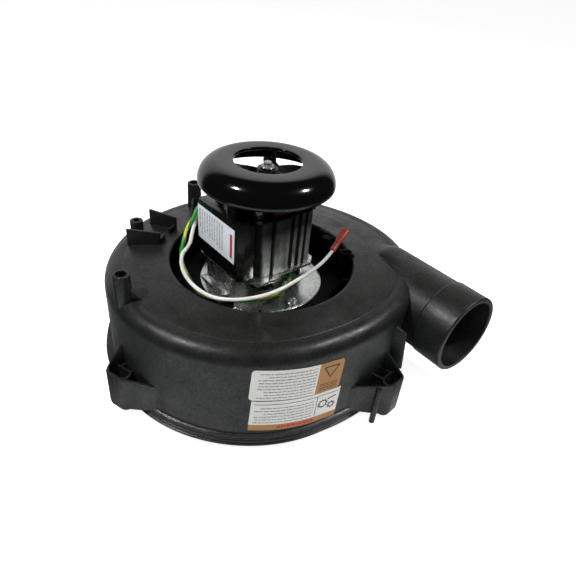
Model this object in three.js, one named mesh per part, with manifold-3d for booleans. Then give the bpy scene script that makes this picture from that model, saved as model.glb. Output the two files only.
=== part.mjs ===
// Draft-inducer blower of a gas furnace: a moulded scroll housing with a side outlet pipe, a
// centrifugal wheel inside it, and a small shaded-pole motor standing in a well on its top.
// Millimetres, +Z up. The origin is on the motor axis, on the plane of the base, and the outlet
// pipe points along +X. Seen from above the wheel turns clockwise.
import * as THREE from 'three';
import { mergeVertices } from 'three/addons/utils/BufferGeometryUtils.js';
import Module from 'manifold-3d';

const wasm = await Module();
wasm.setup();

// ---------------------------------------------------------------- driving dimensions
const GAP = 0.3;                 // clearance between pieces that touch
const WALL = 3;                  // moulded wall of the housing
const AROUND = 44;               // steps round the scroll

// The scroll wall: its radius grows clockwise from the nose, then closes under the outlet.
const NOSE_ANGLE = -10;          // degrees anticlockwise from +X
const NOSE_RADIUS = 116;
const OUTLET_RADIUS = 142;       // the scroll's radius where the outlet leaves it
const SCROLL_EASE = 1.4;         // above 1 the scroll opens quickly at first
const SCROLL_SWEEP = 260;        // degrees from the nose to the outlet
const BLEND_FROM = 80;           // inside this radius everything stays round
const BLEND_TO = 104;            // outside this radius everything follows the scroll

const BASE_TOP = 8;              // top of the base cover's rim
const HOUSING_FOOT = BASE_TOP + GAP;
const SHOULDER_LOW = 77;         // where the wall turns into the rounded shoulder
const SHOULDER = 12;             // radius of the shoulder
const CROWN = 95;                // top of the housing, at the rim of the motor well
const WELL_RADIUS = 76.5;
const WELL_FLOOR = 73.2;
const FLOOR_HOLE = 40;

const FLANGE_CENTRE = [-17, 6];  // the base flange is a circle, off the motor axis
const FLANGE_RADIUS = 135.5;
const FLANGE_MARGIN = 3;         // least overhang of the flange past the wall
const INLET_RADIUS = 40;

const PIPE_Y = 106;
const PIPE_Z = 61;
const PIPE_END = 144;
const PIPE_RADIUS = 34.9;
const PIPE_BORE = 30.4;
const COLLAR_LENGTH = 29;
const PIPE_NECK = 27;            // the outlet starts narrower, inside the scroll,
const PIPE_FULL = 48;            // and has its full width from here on

const DISC_RADIUS = 52.3;
const DISC_TOP = 74.7;
const DISC_THICKNESS = 1.2;

const SHAFT_RADIUS = 3.2;
const SHAFT_LOW = 24;
const SHAFT_HIGH = 178.7;
const RUNNING = 0.08;            // radial clearance of the shaft in its bearings

const STACK_HALF = 31;
const STACK_CHAMFER = 8;
const STACK_LOW = 98.5;
const STACK_HIGH = 145.5;
const COVER_FACE = -44.3;        // outer face of the lead cover
const BRACKET_TOP = STACK_LOW - GAP;
const BRACKET_THICKNESS = 2;

const SHROUD_RADIUS = 53.5;
const SHROUD_HOLE = 26.5;
const SHROUD_TOP = 180.2;
const SHROUD_LOW = 162;
const FAN_RADIUS = 29;
const FAN_LOW = 163.2;

const WHEEL_RADIUS = 82;
const WHEEL_LOW = 22;
const WHEEL_HIGH = 56;
const WHEEL_EYE = 56;            // radius of the hole that the wheel draws through
const WHEEL_BLADES = 20;

// ---------------------------------------------------------------- solids and booleans
function signedVolume(points, corners) {
  const [a, b, c] = [new THREE.Vector3(), new THREE.Vector3(), new THREE.Vector3()];
  let volume = 0;
  for (let i = 0; i < corners.length; i += 3) {
    [a, b, c].forEach((corner, k) => corner.fromArray(points, 3 * corners[i + k]));
    volume += a.dot(b.cross(c)) / 6;
  }
  return volume;
}

// Welds a closed geometry and hands it to the boolean library with its faces pointing out.
function solid(geometry) {
  const bare = geometry.clone();
  for (const name of Object.keys(bare.attributes)) {
    if (name !== 'position') bare.deleteAttribute(name);
  }
  const welded = mergeVertices(bare, 1e-4);
  const corners = welded.index.array;
  const kept = [];
  for (let i = 0; i < corners.length; i += 3) {
    const [a, b, c] = [corners[i], corners[i + 1], corners[i + 2]];
    if (a !== b && b !== c && c !== a) kept.push(a, b, c);
  }
  if (signedVolume(welded.attributes.position.array, kept) < 0) kept.reverse();
  return new wasm.Manifold(new wasm.Mesh({
    numProp: 3,
    vertProperties: new Float32Array(welded.attributes.position.array),
    triVerts: new Uint32Array(kept),
  }));
}

function geometryOf(manifold) {
  const mesh = manifold.getMesh();
  const geometry = new THREE.BufferGeometry();
  geometry.setAttribute('position', new THREE.BufferAttribute(mesh.vertProperties, 3));
  geometry.setIndex(new THREE.BufferAttribute(mesh.triVerts, 1));
  geometry.computeVertexNormals();
  return geometry;
}

const join = (...pieces) => pieces.reduce((sum, piece) => sum.add(piece));
const cut = (body, ...tools) => tools.reduce((rest, tool) => rest.subtract(tool), body);
const radians = THREE.MathUtils.degToRad;
const polar = (radius, degrees) => [
  radius * Math.cos(radians(degrees)), radius * Math.sin(radians(degrees))];

function box(low, high) {
  const size = high.map((value, i) => value - low[i]);
  const geometry = new THREE.BoxGeometry(...size);
  geometry.translate(...low.map((value, i) => value + size[i] / 2));
  return solid(geometry);
}

function rod(radius, low, high, at = [0, 0], sides = 24, topRadius = radius) {
  const geometry = new THREE.CylinderGeometry(topRadius, radius, high - low, sides);
  geometry.rotateX(Math.PI / 2);
  geometry.translate(at[0], at[1], (low + high) / 2);
  return solid(geometry);
}

function revolve(profile, sides = 36) {
  const points = profile.map(([radius, z]) => new THREE.Vector2(radius, z));
  const geometry = new THREE.LatheGeometry(points, sides);
  geometry.rotateX(Math.PI / 2);
  return geometry;
}

const ring = (profile, sides) => solid(revolve([...profile, profile[0]], sides));

const hexNut = (at, boltRadius, corner, low, high) =>
  rod(corner, low, high, at, 6).subtract(rod(boltRadius + GAP, low - 1, high + 1, at, 16));

function prism(points, low, high) {
  const shape = new THREE.Shape(points.map(([x, y]) => new THREE.Vector2(x, y)));
  const geometry = new THREE.ExtrudeGeometry(shape, { depth: high - low, bevelEnabled: false });
  geometry.translate(0, 0, low);
  return solid(geometry);
}

function obround(length, width, low, high, sides = 8) {
  const half = (length - width) / 2;
  const shape = new THREE.Shape();
  shape.absarc(half, 0, width / 2, -Math.PI / 2, Math.PI / 2);
  shape.absarc(-half, 0, width / 2, Math.PI / 2, Math.PI * 1.5);
  const options = { depth: high - low, bevelEnabled: false, curveSegments: sides };
  const geometry = new THREE.ExtrudeGeometry(shape, options);
  geometry.translate(0, 0, low);
  return solid(geometry);
}

// A flat plate standing on edge: its outline is given as [outwards, up] in the vertical plane
// through the point at, facing the direction given in degrees.
function fin(at, degrees, outline, thickness) {
  const geometry = new THREE.ExtrudeGeometry(
    new THREE.Shape(outline.map(([out, up]) => new THREE.Vector2(out, up))),
    { depth: thickness, bevelEnabled: false });
  geometry.translate(0, 0, -thickness / 2);
  geometry.rotateX(Math.PI / 2);
  geometry.rotateZ(radians(degrees));
  geometry.translate(at[0], at[1], 0);
  return solid(geometry);
}

// ---------------------------------------------------------------- scroll outline
function scrollRadius(degrees) {
  const along = (((NOSE_ANGLE - degrees) % 360) + 360) % 360;
  if (along <= SCROLL_SWEEP) {
    const opened = 1 - (1 - along / SCROLL_SWEEP) ** SCROLL_EASE;
    return THREE.MathUtils.lerp(NOSE_RADIUS, OUTLET_RADIUS, opened);
  }
  const back = THREE.MathUtils.smoothstep(along, SCROLL_SWEEP, 360);
  return THREE.MathUtils.lerp(OUTLET_RADIUS, NOSE_RADIUS, back);
}

function flangeRadius(degrees) {
  const [x, y] = polar(1, degrees);
  const along = FLANGE_CENTRE[0] * x + FLANGE_CENTRE[1] * y;
  const offset = FLANGE_CENTRE[0] ** 2 + FLANGE_CENTRE[1] ** 2 - along ** 2;
  const circle = along + Math.sqrt(FLANGE_RADIUS ** 2 - offset);
  return Math.max(circle, scrollRadius(degrees) + FLANGE_MARGIN);
}

// Turns a profile of [radius, z] at the nose into a ring or drum that follows the scroll. Radii
// past the wall by more than one millimetre run out to the flange's own outline.
const FLANGE_PROFILE = NOSE_RADIUS + 4;
function scrollDrum(profile, withFlange = false) {
  const geometry = revolve(profile, AROUND);
  const position = geometry.attributes.position;
  for (let i = 0; i < position.count; i += 1) {
    const [x, y] = [position.getX(i), position.getY(i)];
    const radius = Math.hypot(x, y);
    if (radius <= BLEND_FROM) continue;
    const degrees = THREE.MathUtils.radToDeg(Math.atan2(y, x));
    const wall = scrollRadius(degrees);
    const share = Math.min((radius - BLEND_FROM) / (BLEND_TO - BLEND_FROM), 1);
    let wanted = radius + (wall - NOSE_RADIUS) * share;
    if (withFlange && radius > NOSE_RADIUS + 1) {
      const out = (radius - NOSE_RADIUS - 1) / (FLANGE_PROFILE - NOSE_RADIUS - 1);
      wanted = THREE.MathUtils.lerp(wall + 1, flangeRadius(degrees), out);
    }
    position.setXY(i, x * wanted / radius, y * wanted / radius);
  }
  return solid(geometry);
}

function shoulderArc(outerRadius, low, size, steps) {
  const points = [];
  for (let i = 0; i <= steps; i += 1) {
    const turn = (Math.PI / 2) * (i / steps);
    points.push([outerRadius - size + size * Math.cos(turn), low + size * Math.sin(turn)]);
  }
  return points;
}

// ---------------------------------------------------------------- upper housing
const EARS = [
  { angle: -89, radius: 134.8, slot: 20, side: 1 },
  { angle: 18, radius: 134.6, slot: 98, side: -1 },
  { angle: 163, radius: 147.8, slot: 253, side: 1 },
];
const EAR_LOW = 0;
const EAR_HIGH = 34;
const PIN_LOW = -5;

function ear({ angle, radius, slot, side }) {
  const [x, y] = polar(radius, angle);
  const place = (piece) => piece.rotate([0, 0, slot]).translate([x, y, 0]);
  const tube = place(obround(22, 12.5, EAR_LOW, EAR_HIGH, 6));
  const wallRadius = scrollRadius(angle) - 1;
  const inwards = angle + 180;
  const depth = radius - wallRadius;
  const ribs = [-5.5, 5.5].map((shift) => {
    const [dx, dy] = polar(shift, slot);
    return fin([x + dx, y + dy], inwards,
      [[3, EAR_LOW + 6], [depth + 3, EAR_LOW + 6], [depth + 3, EAR_HIGH], [3, EAR_HIGH]], 2);
  });
  const [gx, gy] = polar(-side * 9.5, slot);
  const gusset = fin([x + gx, y + gy], inwards,
    [[-2, EAR_LOW + 8], [depth + 4, EAR_LOW + 4], [depth + 4, EAR_HIGH + 20], [-2, EAR_HIGH]], 2);
  const [sx, sy] = polar(side * 9, slot);
  const [ox, oy] = polar(4.6, angle);
  const start = [x + sx + ox, y + sy + oy];
  const end = polar(scrollRadius(angle + side * 16) - 1.5, angle + side * 16);
  const heading = THREE.MathUtils.radToDeg(Math.atan2(end[1] - start[1], end[0] - start[0]));
  const reach = Math.hypot(end[0] - start[0], end[1] - start[1]);
  const plate = fin(start, heading, [[-3, EAR_LOW + 5], [1, EAR_LOW + 2],
    [reach, HOUSING_FOOT + 1], [reach, EAR_HIGH], [-3, EAR_HIGH]], 2.4);
  const bore = place(obround(17.5, 8, EAR_LOW - 1, EAR_HIGH + 1, 5));
  const chamferCut = place(box([-14, -9, -9], [14, 9, 9]).rotate([0, side * 38, 0])
    .translate([-side * 15, 0, -3]));
  return {
    tube: tube.subtract(chamferCut),
    webs: join(...ribs, gusset, plate).subtract(chamferCut),
    bore,
  };
}

const POSTS = [
  { angle: -95.5, radius: 119.3, top: 111 },
  { angle: 178.5, radius: 119.5, top: 114 },
];
const post = ({ angle, radius, top }) => {
  const at = polar(radius, angle);
  const heading = angle + 140;
  const gusset = fin(at, heading, [[0, 84], [13.6, 84], [13.6, 91.3], [0, top - 5]], 2);
  return join(rod(7, 80, top, at, 16, 6.4), gusset);
};

// Cradle for the pressure switch: two upright radial walls with a holed boss between them.
const CRADLE_WALLS = [-154, -134];
const CRADLE_BOSS = { angle: -142.5, radius: 115.5 };
const CRADLE_TOP = 105;
const CRADLE_FLOOR = 84;

function cradle() {
  const walls = CRADLE_WALLS.map((angle) => fin(polar(88, angle), angle,
    [[0, CRADLE_FLOOR], [29, CRADLE_FLOOR], [29, CRADLE_TOP], [0, CRADLE_TOP]], 2.2));
  const sill = CRADLE_WALLS.map((angle, k) => fin(polar(89, angle), angle + (k === 0 ? 96 : -96),
    [[0, CRADLE_FLOOR], [11, CRADLE_FLOOR], [11, 98.5], [0, 98.5]], 2));
  const at = polar(CRADLE_BOSS.radius, CRADLE_BOSS.angle);
  const boss = rod(5.6, CRADLE_FLOOR, CRADLE_TOP, at, 14);
  const brace = fin(at, CRADLE_BOSS.angle + 105,
    [[0, CRADLE_FLOOR], [17, CRADLE_FLOOR], [17, 99], [0, 99]], 2);
  return join(...walls, ...sill, boss, brace);
}
const cradleBore = () =>
  rod(2.8, 94, CRADLE_TOP + 1, polar(CRADLE_BOSS.radius, CRADLE_BOSS.angle), 10);

const COVER_SCREW_ANGLES = [-150, -75, -20, 70, 140];
const coverScrewRadius = (angle) => scrollRadius(angle) - 9.5;
const DISC_SCREW_ANGLES = [-2, 105, 185];
const DISC_SCREW_RADIUS = 44.5;

// Upright ribs and bosses on the inside of the well, at degrees anticlockwise from +X.
function wellBosses() {
  const web = (angle, depth, top) => fin(polar(WELL_RADIUS + 1, angle), angle + 180,
    [[0, WELL_FLOOR - 1], [depth + 9, WELL_FLOOR - 1], [depth, top], [0, top]], 2);
  const round = (angle, radius, top) => rod(5.2, WELL_FLOOR - 1, top, polar(radius, angle), 12);
  const hook = (angle) => {
    const block = box([-6, -4.5, WELL_FLOOR - 1], [6, 4.5, CROWN + 3.5]);
    const slot = box([-4, -2.6, 84], [4.4, 2.6, CROWN + 5]);
    return block.subtract(slot).rotate([0, 0, angle]).translate([...polar(73.5, angle), 0]);
  };
  return join(
    round(-57, 72.5, 93.5), round(150, 72.5, 93.5), round(88, 72.5, 93.5),
    web(-37, 5, 93), web(-3, 5, 93), web(32, 7, 93), web(115, 5, 93), web(-95, 5, 93),
    hook(60), hook(190));
}

function upperHousing() {
  const inner = NOSE_RADIUS - WALL;
  const outside = scrollDrum([
    [0, HOUSING_FOOT], [NOSE_RADIUS + 2, HOUSING_FOOT], [NOSE_RADIUS + 2, HOUSING_FOOT + 2],
    [NOSE_RADIUS, HOUSING_FOOT + 2.6],
    ...shoulderArc(NOSE_RADIUS, SHOULDER_LOW, SHOULDER, 4),
    [92, 92.6], [WELL_RADIUS + 3, CROWN], [0, CROWN],
  ]);
  const chamber = scrollDrum([
    [0, HOUSING_FOOT - 1], [inner, HOUSING_FOOT - 1],
    ...shoulderArc(inner, SHOULDER_LOW - 1, SHOULDER - 2, 2),
    [WELL_RADIUS + WALL, 91.6], [WELL_RADIUS + WALL, WELL_FLOOR - WALL],
    [0, WELL_FLOOR - WALL],
  ]);
  const lengthwise = (piece) => piece.rotate([0, 90, 0]).translate([0, PIPE_Y, PIPE_Z]);
  const pipe = join(
    lengthwise(rod(PIPE_NECK, 25, PIPE_FULL, [0, 0], 32, PIPE_RADIUS - 0.9)),
    lengthwise(rod(PIPE_RADIUS - 0.9, PIPE_FULL - 0.1, PIPE_END - COLLAR_LENGTH, [0, 0], 32)),
    lengthwise(rod(PIPE_RADIUS, PIPE_END - COLLAR_LENGTH - 0.1, PIPE_END, [0, 0], 32)));
  const bore = join(
    lengthwise(rod(PIPE_NECK - 4, 25, PIPE_FULL, [0, 0], 24, PIPE_BORE)),
    lengthwise(rod(PIPE_BORE, PIPE_FULL - 0.1, PIPE_END + 1, [0, 0], 24)));
  const ears = EARS.map(ear);
  const screwPillars = COVER_SCREW_ANGLES.map((angle) =>
    rod(4.6, HOUSING_FOOT, 40, polar(coverScrewRadius(angle), angle), 10)
      .add(fin(polar(coverScrewRadius(angle), angle), angle,
        [[0, HOUSING_FOOT], [7.9, HOUSING_FOOT], [7.9, 37], [0, 37]], 2.4)));
  const screwHoles = COVER_SCREW_ANGLES.map((angle) =>
    rod(1.9, HOUSING_FOOT - 1, 27, polar(coverScrewRadius(angle), angle), 8));
  const discScrewHoles = DISC_SCREW_ANGLES.map((angle) =>
    rod(1.9, WELL_FLOOR - 9, WELL_FLOOR + 1, polar(DISC_SCREW_RADIUS, angle), 8));
  const discPillars = DISC_SCREW_ANGLES.map((angle) =>
    rod(4.2, WELL_FLOOR - 9, WELL_FLOOR - 1, polar(DISC_SCREW_RADIUS, angle), 10));
  const web = fin(polar(scrollRadius(26) - 1, 26), 30, [[0, 30], [13, 30], [10, 66], [0, 72]], 3);
  const overFlange = scrollDrum([[0, -20], [FLANGE_PROFILE + GAP, -20],
    [FLANGE_PROFILE + GAP, HOUSING_FOOT], [0, HOUSING_FOOT]], true);
  const webs = join(...ears.map((one) => one.webs)).subtract(overFlange);
  const tubes = join(...ears.map((one) => one.tube));
  const outer = join(outside, pipe, webs, tubes, ...POSTS.map(post), cradle(), web);
  const well = solid(revolve([[0, WELL_FLOOR], [WELL_RADIUS, WELL_FLOOR], [WELL_RADIUS, CROWN - 1.4],
    [WELL_RADIUS + 1.4, CROWN + 0.4], [0, CROWN + 0.4]], 40));
  const hollow = cut(outer, chamber, bore, well);
  const body = join(hollow, ...screwPillars, ...discPillars, wellBosses());
  return cut(body,
    rod(FLOOR_HOLE, WELL_FLOOR - 12, WELL_FLOOR + 1, [0, 0], 28),
    ...ears.map((one) => one.bore),
    ...POSTS.map(({ angle, radius, top }) => rod(4.2, 96, top + 1, polar(radius, angle), 12)),
    cradleBore(), ...screwHoles, ...discScrewHoles);
}

const PINS = [{ angle: 10.6, radius: 132 }, { angle: 170.8, radius: 146 }];
const PIN_RADIUS = 2.4;
const pin = ({ angle, radius }, extra = 0) =>
  rod(PIN_RADIUS + extra, PIN_LOW - extra, EAR_HIGH - 1, polar(radius, angle), 14);

// ---------------------------------------------------------------- base cover, seals and screws
const SEAL_INSIDE = NOSE_RADIUS - WALL - 0.2;
const SEAL_OUTSIDE = NOSE_RADIUS + 0.2;
const SEAL_LOW = 5.3;

function baseCover() {
  const rim = FLANGE_PROFILE;
  const plate = scrollDrum([
    [INLET_RADIUS + 14, 0], [rim, 0], [rim, 2.8], [rim - 1.4, 4], [rim - 0.9, 6.4],
    [rim - 2, BASE_TOP], [SEAL_OUTSIDE + GAP, BASE_TOP],
    [SEAL_OUTSIDE + GAP, SEAL_LOW - GAP], [SEAL_INSIDE - GAP, SEAL_LOW - GAP],
    [SEAL_INSIDE - GAP, BASE_TOP], [SEAL_INSIDE - 2, BASE_TOP], [SEAL_INSIDE - 2, 3.6],
    [INLET_RADIUS + 14, 3.6], [INLET_RADIUS + 14, 0],
  ], true);
  const inlet = ring([
    [INLET_RADIUS + 14.5, 0], [INLET_RADIUS + 14.5, 3.6], [INLET_RADIUS + 9, 3.6],
    [INLET_RADIUS + 3, 7], [INLET_RADIUS + 1.5, 15], [INLET_RADIUS - 1, 15],
    [INLET_RADIUS, 6], [INLET_RADIUS + 2.4, 2.3], [INLET_RADIUS + 14, 2.3], [INLET_RADIUS + 14, 0],
  ], 32);
  const ribs = [];
  for (let k = 0; k < 8; k += 1) {
    const angle = 22.5 + 45 * k;
    ribs.push(fin(polar(INLET_RADIUS + 16, angle), angle, [[0, 3], [50, 3], [50, 6], [0, 8]], 2));
  }
  const clearance = EARS.map(({ angle, radius, slot }) => {
    const [x, y] = polar(radius, angle);
    return obround(24, 14.5, -1, 12, 4).rotate([0, 0, slot]).translate([x, y, 0]);
  });
  const screwHoles = COVER_SCREW_ANGLES.flatMap((angle) => {
    const at = polar(coverScrewRadius(angle), angle);
    return [rod(2, -1, 9, at, 8), rod(4.6, -1, 2, at, 12)];
  });
  return cut(join(plate, inlet, ...ribs), ...clearance, ...screwHoles,
    ...PINS.map((one) => pin(one, 2 * GAP)));
}

function housingSeal() {
  return scrollDrum([
    [SEAL_INSIDE, SEAL_LOW], [SEAL_OUTSIDE, SEAL_LOW], [SEAL_OUTSIDE, BASE_TOP],
    [SEAL_INSIDE, BASE_TOP], [SEAL_INSIDE, SEAL_LOW]]);
}

function inletGasket() {
  return ring([[INLET_RADIUS + 5, 0.1], [INLET_RADIUS + 13.5, 0.1], [INLET_RADIUS + 13.5, 2],
    [INLET_RADIUS + 5, 2]], 32);
}

function coverScrew(angle) {
  const at = polar(coverScrewRadius(angle), angle);
  return join(rod(3.8, 0.1, 1.7, at, 16), rod(1.6, 1.6, 24, at, 12));
}

function discScrew(angle) {
  const at = polar(DISC_SCREW_RADIUS, angle);
  return join(rod(5, DISC_TOP + GAP, DISC_TOP + 1.3, at, 20),
    rod(3.4, DISC_TOP + 1.2, DISC_TOP + 3.4, at, 6),
    rod(1.6, WELL_FLOOR - 6, DISC_TOP + 1, at, 12));
}

// ---------------------------------------------------------------- motor
function mountingDisc() {
  const holes = DISC_SCREW_ANGLES.map((angle) =>
    rod(2, DISC_TOP - 3, DISC_TOP + 1, polar(DISC_SCREW_RADIUS, angle), 12));
  const disc = rod(DISC_RADIUS, DISC_TOP - DISC_THICKNESS, DISC_TOP, [0, 0], 48);
  return cut(disc, rod(11, DISC_TOP - 3, DISC_TOP + 1, [0, 0], 24),
    rod(1.8, DISC_TOP - 3, DISC_TOP + 1, GROUND_AT, 12), ...holes);
}

const BOLT_AT = 25.5;            // through bolts stand at the corners of this half square
const CORNERS = [[1, -1], [1, 1], [-1, 1], [-1, -1]];

// Folded sheet: a top plate under the motor, side skirts, and two legs that stand on the disc.
const BRACKET_OUTLINE = [[33.5, -9], [33.5, 25], [26, 32.5], [-26, 32.5], [-33.5, 25],
  [-33.5, -37], [-29, -42.5], [22, -42.5], [26, -37.5], [29.5, -32.5], [38, -32.5], [38, -9]];
const SKIRT_LOW = 88;

function lowerBracket() {
  const low = BRACKET_TOP - BRACKET_THICKNESS;
  const leg = (x0, x1, face, outwards) => {
    const span = (a, b) => [Math.min(a, b), Math.max(a, b)];
    const [y0, y1] = span(face, face - outwards * 1.6);
    const [f0, f1] = span(face - outwards * 1.6, face + outwards * 6);
    return join(box([x0, y0, DISC_TOP + GAP], [x1, y1, low + 0.1]),
      box([x0, f0, DISC_TOP + GAP], [x1, f1, DISC_TOP + GAP + 1.4]));
  };
  const skirt = box([-33.5, -36, SKIRT_LOW], [-31.9, 6, low + 0.1]);
  const cup = rod(12.5, low - 9, low + 0.1, [0, 0], 24);
  const holes = CORNERS.map(([i, j]) => rod(2.1, low - 3, BRACKET_TOP + 1,
    [i * BOLT_AT, j * BOLT_AT], 10));
  const plate = prism(BRACKET_OUTLINE, low, BRACKET_TOP);
  return cut(join(plate, skirt, cup, leg(-25, 10, -39, -1), leg(-17, 17, 31, 1)),
    rod(9.8, low - 7, BRACKET_TOP + 1, [0, 0], 24), rod(5, low - 10, low, [0, 0], 16), ...holes);
}

// The bundle of laminations: ribs and grooves run up its four sides.
function statorStack() {
  const side = [
    [-STACK_HALF + STACK_CHAMFER, 0], [-16, 0], [-16, -1.6], [-13, -1.6], [-13, 1.2], [1, 1.2],
    [1, -1.6], [6, -1.6], [6, 0], [9, 0], [9, -1.6], [13, -1.6], [13, 0], [16, 0], [16, -1.6],
    [19, -1.6], [19, 0], [STACK_HALF - STACK_CHAMFER, 0]];
  const outline = [];
  for (let k = 0; k < 4; k += 1) {
    const turn = radians(90 * k);
    side.forEach(([along, out]) => {
      const x = STACK_HALF + (k % 2 === 0 ? out : Math.min(out, 0));
      outline.push([x * Math.cos(turn) - along * Math.sin(turn),
        x * Math.sin(turn) + along * Math.cos(turn)]);
    });
  }
  const holes = CORNERS.map(([i, j]) => rod(2.1, STACK_LOW - 1, STACK_HIGH + 1,
    [i * BOLT_AT, j * BOLT_AT], 12));
  const slots = [0, 90, 180, 270].map((turn) => box([20, -9, STACK_LOW - 1], [26, 9, STACK_HIGH + 1])
    .add(box([14, -4, STACK_LOW - 1], [21, 4, STACK_HIGH + 1])).rotate([0, 0, turn]));
  return cut(prism(outline, STACK_LOW, STACK_HIGH),
    rod(16.5, STACK_LOW - 1, STACK_HIGH + 1, [0, 0], 32), ...holes, ...slots);
}

const COIL_HIGH = STACK_HIGH + 8;
function coil(turn) {
  const leg = box([20.4, -8.6, STACK_LOW + 1], [25.6, 8.6, COIL_HIGH]);
  const head = box([17.6, -11, STACK_HIGH + GAP], [27, 11, COIL_HIGH]);
  return join(leg, head).rotate([0, 0, turn]);
}

function upperBracket() {
  const low = STACK_HIGH + GAP;
  const cup = rod(12.5, low + 2, low + 10, [0, 0], 28);
  const arms = CORNERS.map(([i, j]) => box([0, -4, low], [BOLT_AT * Math.SQRT2 + 4, 4, low + 3])
    .rotate([0, 0, THREE.MathUtils.radToDeg(Math.atan2(j, i))]));
  const holes = CORNERS.map(([i, j]) => rod(2.1, low - 1, low + 5, [i * BOLT_AT, j * BOLT_AT], 12));
  return cut(join(rod(14.5, low, low + 3, [0, 0], 28), cup, ...arms),
    rod(9.8, low - 1, low + 8, [0, 0], 28), rod(5, low + 7, low + 11, [0, 0], 20), ...holes);
}

function bearing(low) {
  return ring([[SHAFT_RADIUS + RUNNING, low], [9.5, low], [9.5, low + 6.5],
    [SHAFT_RADIUS + RUNNING, low + 6.5]], 32);
}

const BOLT_LOW = BRACKET_TOP - BRACKET_THICKNESS - 2.9;
function throughBolt([i, j]) {
  const at = [i * BOLT_AT, j * BOLT_AT];
  return join(rod(1.8, BOLT_LOW, STACK_HIGH + 8.6, at, 12),
    rod(3.2, BOLT_LOW, BOLT_LOW + 2.6, at, 6));
}

function boltNut([i, j]) {
  const low = STACK_HIGH + GAP + 3 + GAP;
  return hexNut([i * BOLT_AT, j * BOLT_AT], 1.8, 3.5, low, low + 2.8);
}

function leadCover() {
  const outline = [[-30.5, -STACK_HALF - 0.4], [-30.5, COVER_FACE + 3], [-27.5, COVER_FACE],
    [26.5, COVER_FACE], [30.5, COVER_FACE + 4], [30.5, -STACK_HALF - 0.4]];
  const shell = prism(outline, STACK_LOW + 2, STACK_HIGH + 1);
  const hollow = box([-27.5, COVER_FACE + 2.2, STACK_LOW + 1],
    [27.5, -STACK_HALF, STACK_HIGH - 1.5]);
  const mouth = box([-32, COVER_FACE + 4.6, STACK_HIGH - 18.5], [-27, -STACK_HALF + 1, STACK_HIGH - 3]);
  const post = rod(4.2, STACK_HIGH, SHROUD_LOW + 1.5, [11, -38.6], 20);
  return cut(join(shell, post), hollow, mouth);
}

function motorLabel() {
  return box([-28.5, COVER_FACE - GAP - 0.25, STACK_LOW + 15],
    [23.5, COVER_FACE - GAP, STACK_HIGH - 3]);
}

// ---------------------------------------------------------------- cooling fan and its shroud
const LEG_LOW = STACK_HIGH + 2 * GAP + 6.1;
function fanShroud() {
  const shell = ring([
    [SHROUD_HOLE, SHROUD_TOP - 2.4], [SHROUD_HOLE, SHROUD_TOP - 0.6], [SHROUD_HOLE + 0.8, SHROUD_TOP],
    [37.5, SHROUD_TOP - 0.3], [43.6, 178.9], [48.8, 175.5], [52.2, 170.4],
    [SHROUD_RADIUS, 164.6], [52.2, SHROUD_LOW],
    [50.6, SHROUD_LOW + 0.4], [51, 164.6], [49.8, 169.8], [46.6, 174.4], [42.2, 177], [37.5, 177.8],
  ], 48);
  const legs = CORNERS.map(([i, j]) => {
    const at = [i * BOLT_AT, j * BOLT_AT];
    return join(rod(4.4, LEG_LOW, SHROUD_LOW, at, 16), rod(2.1, SHROUD_LOW - 1, 178.6, at, 12))
      .subtract(rod(1.8 + GAP, LEG_LOW - 1, LEG_LOW + 4, at, 8));
  });
  return join(shell, ...legs);
}

function coolingFan() {
  const hub = rod(8, FAN_LOW, FAN_LOW + 11, [0, 0], 24);
  const plate = rod(13, FAN_LOW, FAN_LOW + 1.6, [0, 0], 24);
  const blades = [];
  for (let k = 0; k < 5; k += 1) {
    const blade = box([5, -0.6, -5.5], [FAN_RADIUS, 0.6, 5.5]).rotate([38, 0, 0]);
    blades.push(blade.translate([0, 0, FAN_LOW + 5.5]).rotate([0, 0, 72 * k + 64]));
  }
  return cut(join(hub, plate, ...blades),
    rod(SHAFT_RADIUS + GAP, FAN_LOW - 1, FAN_LOW + 12, [0, 0], 20));
}

function pushNut() {
  const low = FAN_LOW + 11 + GAP;
  return ring([[SHAFT_RADIUS + GAP, low], [6, low], [6, low + 0.7], [4.6, low + 1.8],
    [SHAFT_RADIUS + GAP, low + 2.2]], 20);
}

// ---------------------------------------------------------------- rotor
function shaft() {
  return ring([[0, SHAFT_LOW], [SHAFT_RADIUS - 0.6, SHAFT_LOW], [SHAFT_RADIUS, SHAFT_LOW + 0.6],
    [SHAFT_RADIUS, SHAFT_HIGH - 0.6], [SHAFT_RADIUS - 0.6, SHAFT_HIGH], [0, SHAFT_HIGH]], 20);
}

function rotorCore() {
  return ring([[SHAFT_RADIUS + GAP, STACK_LOW + 1], [15.9, STACK_LOW + 1], [15.9, STACK_HIGH - 1],
    [SHAFT_RADIUS + GAP, STACK_HIGH - 1]], 36);
}

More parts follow.
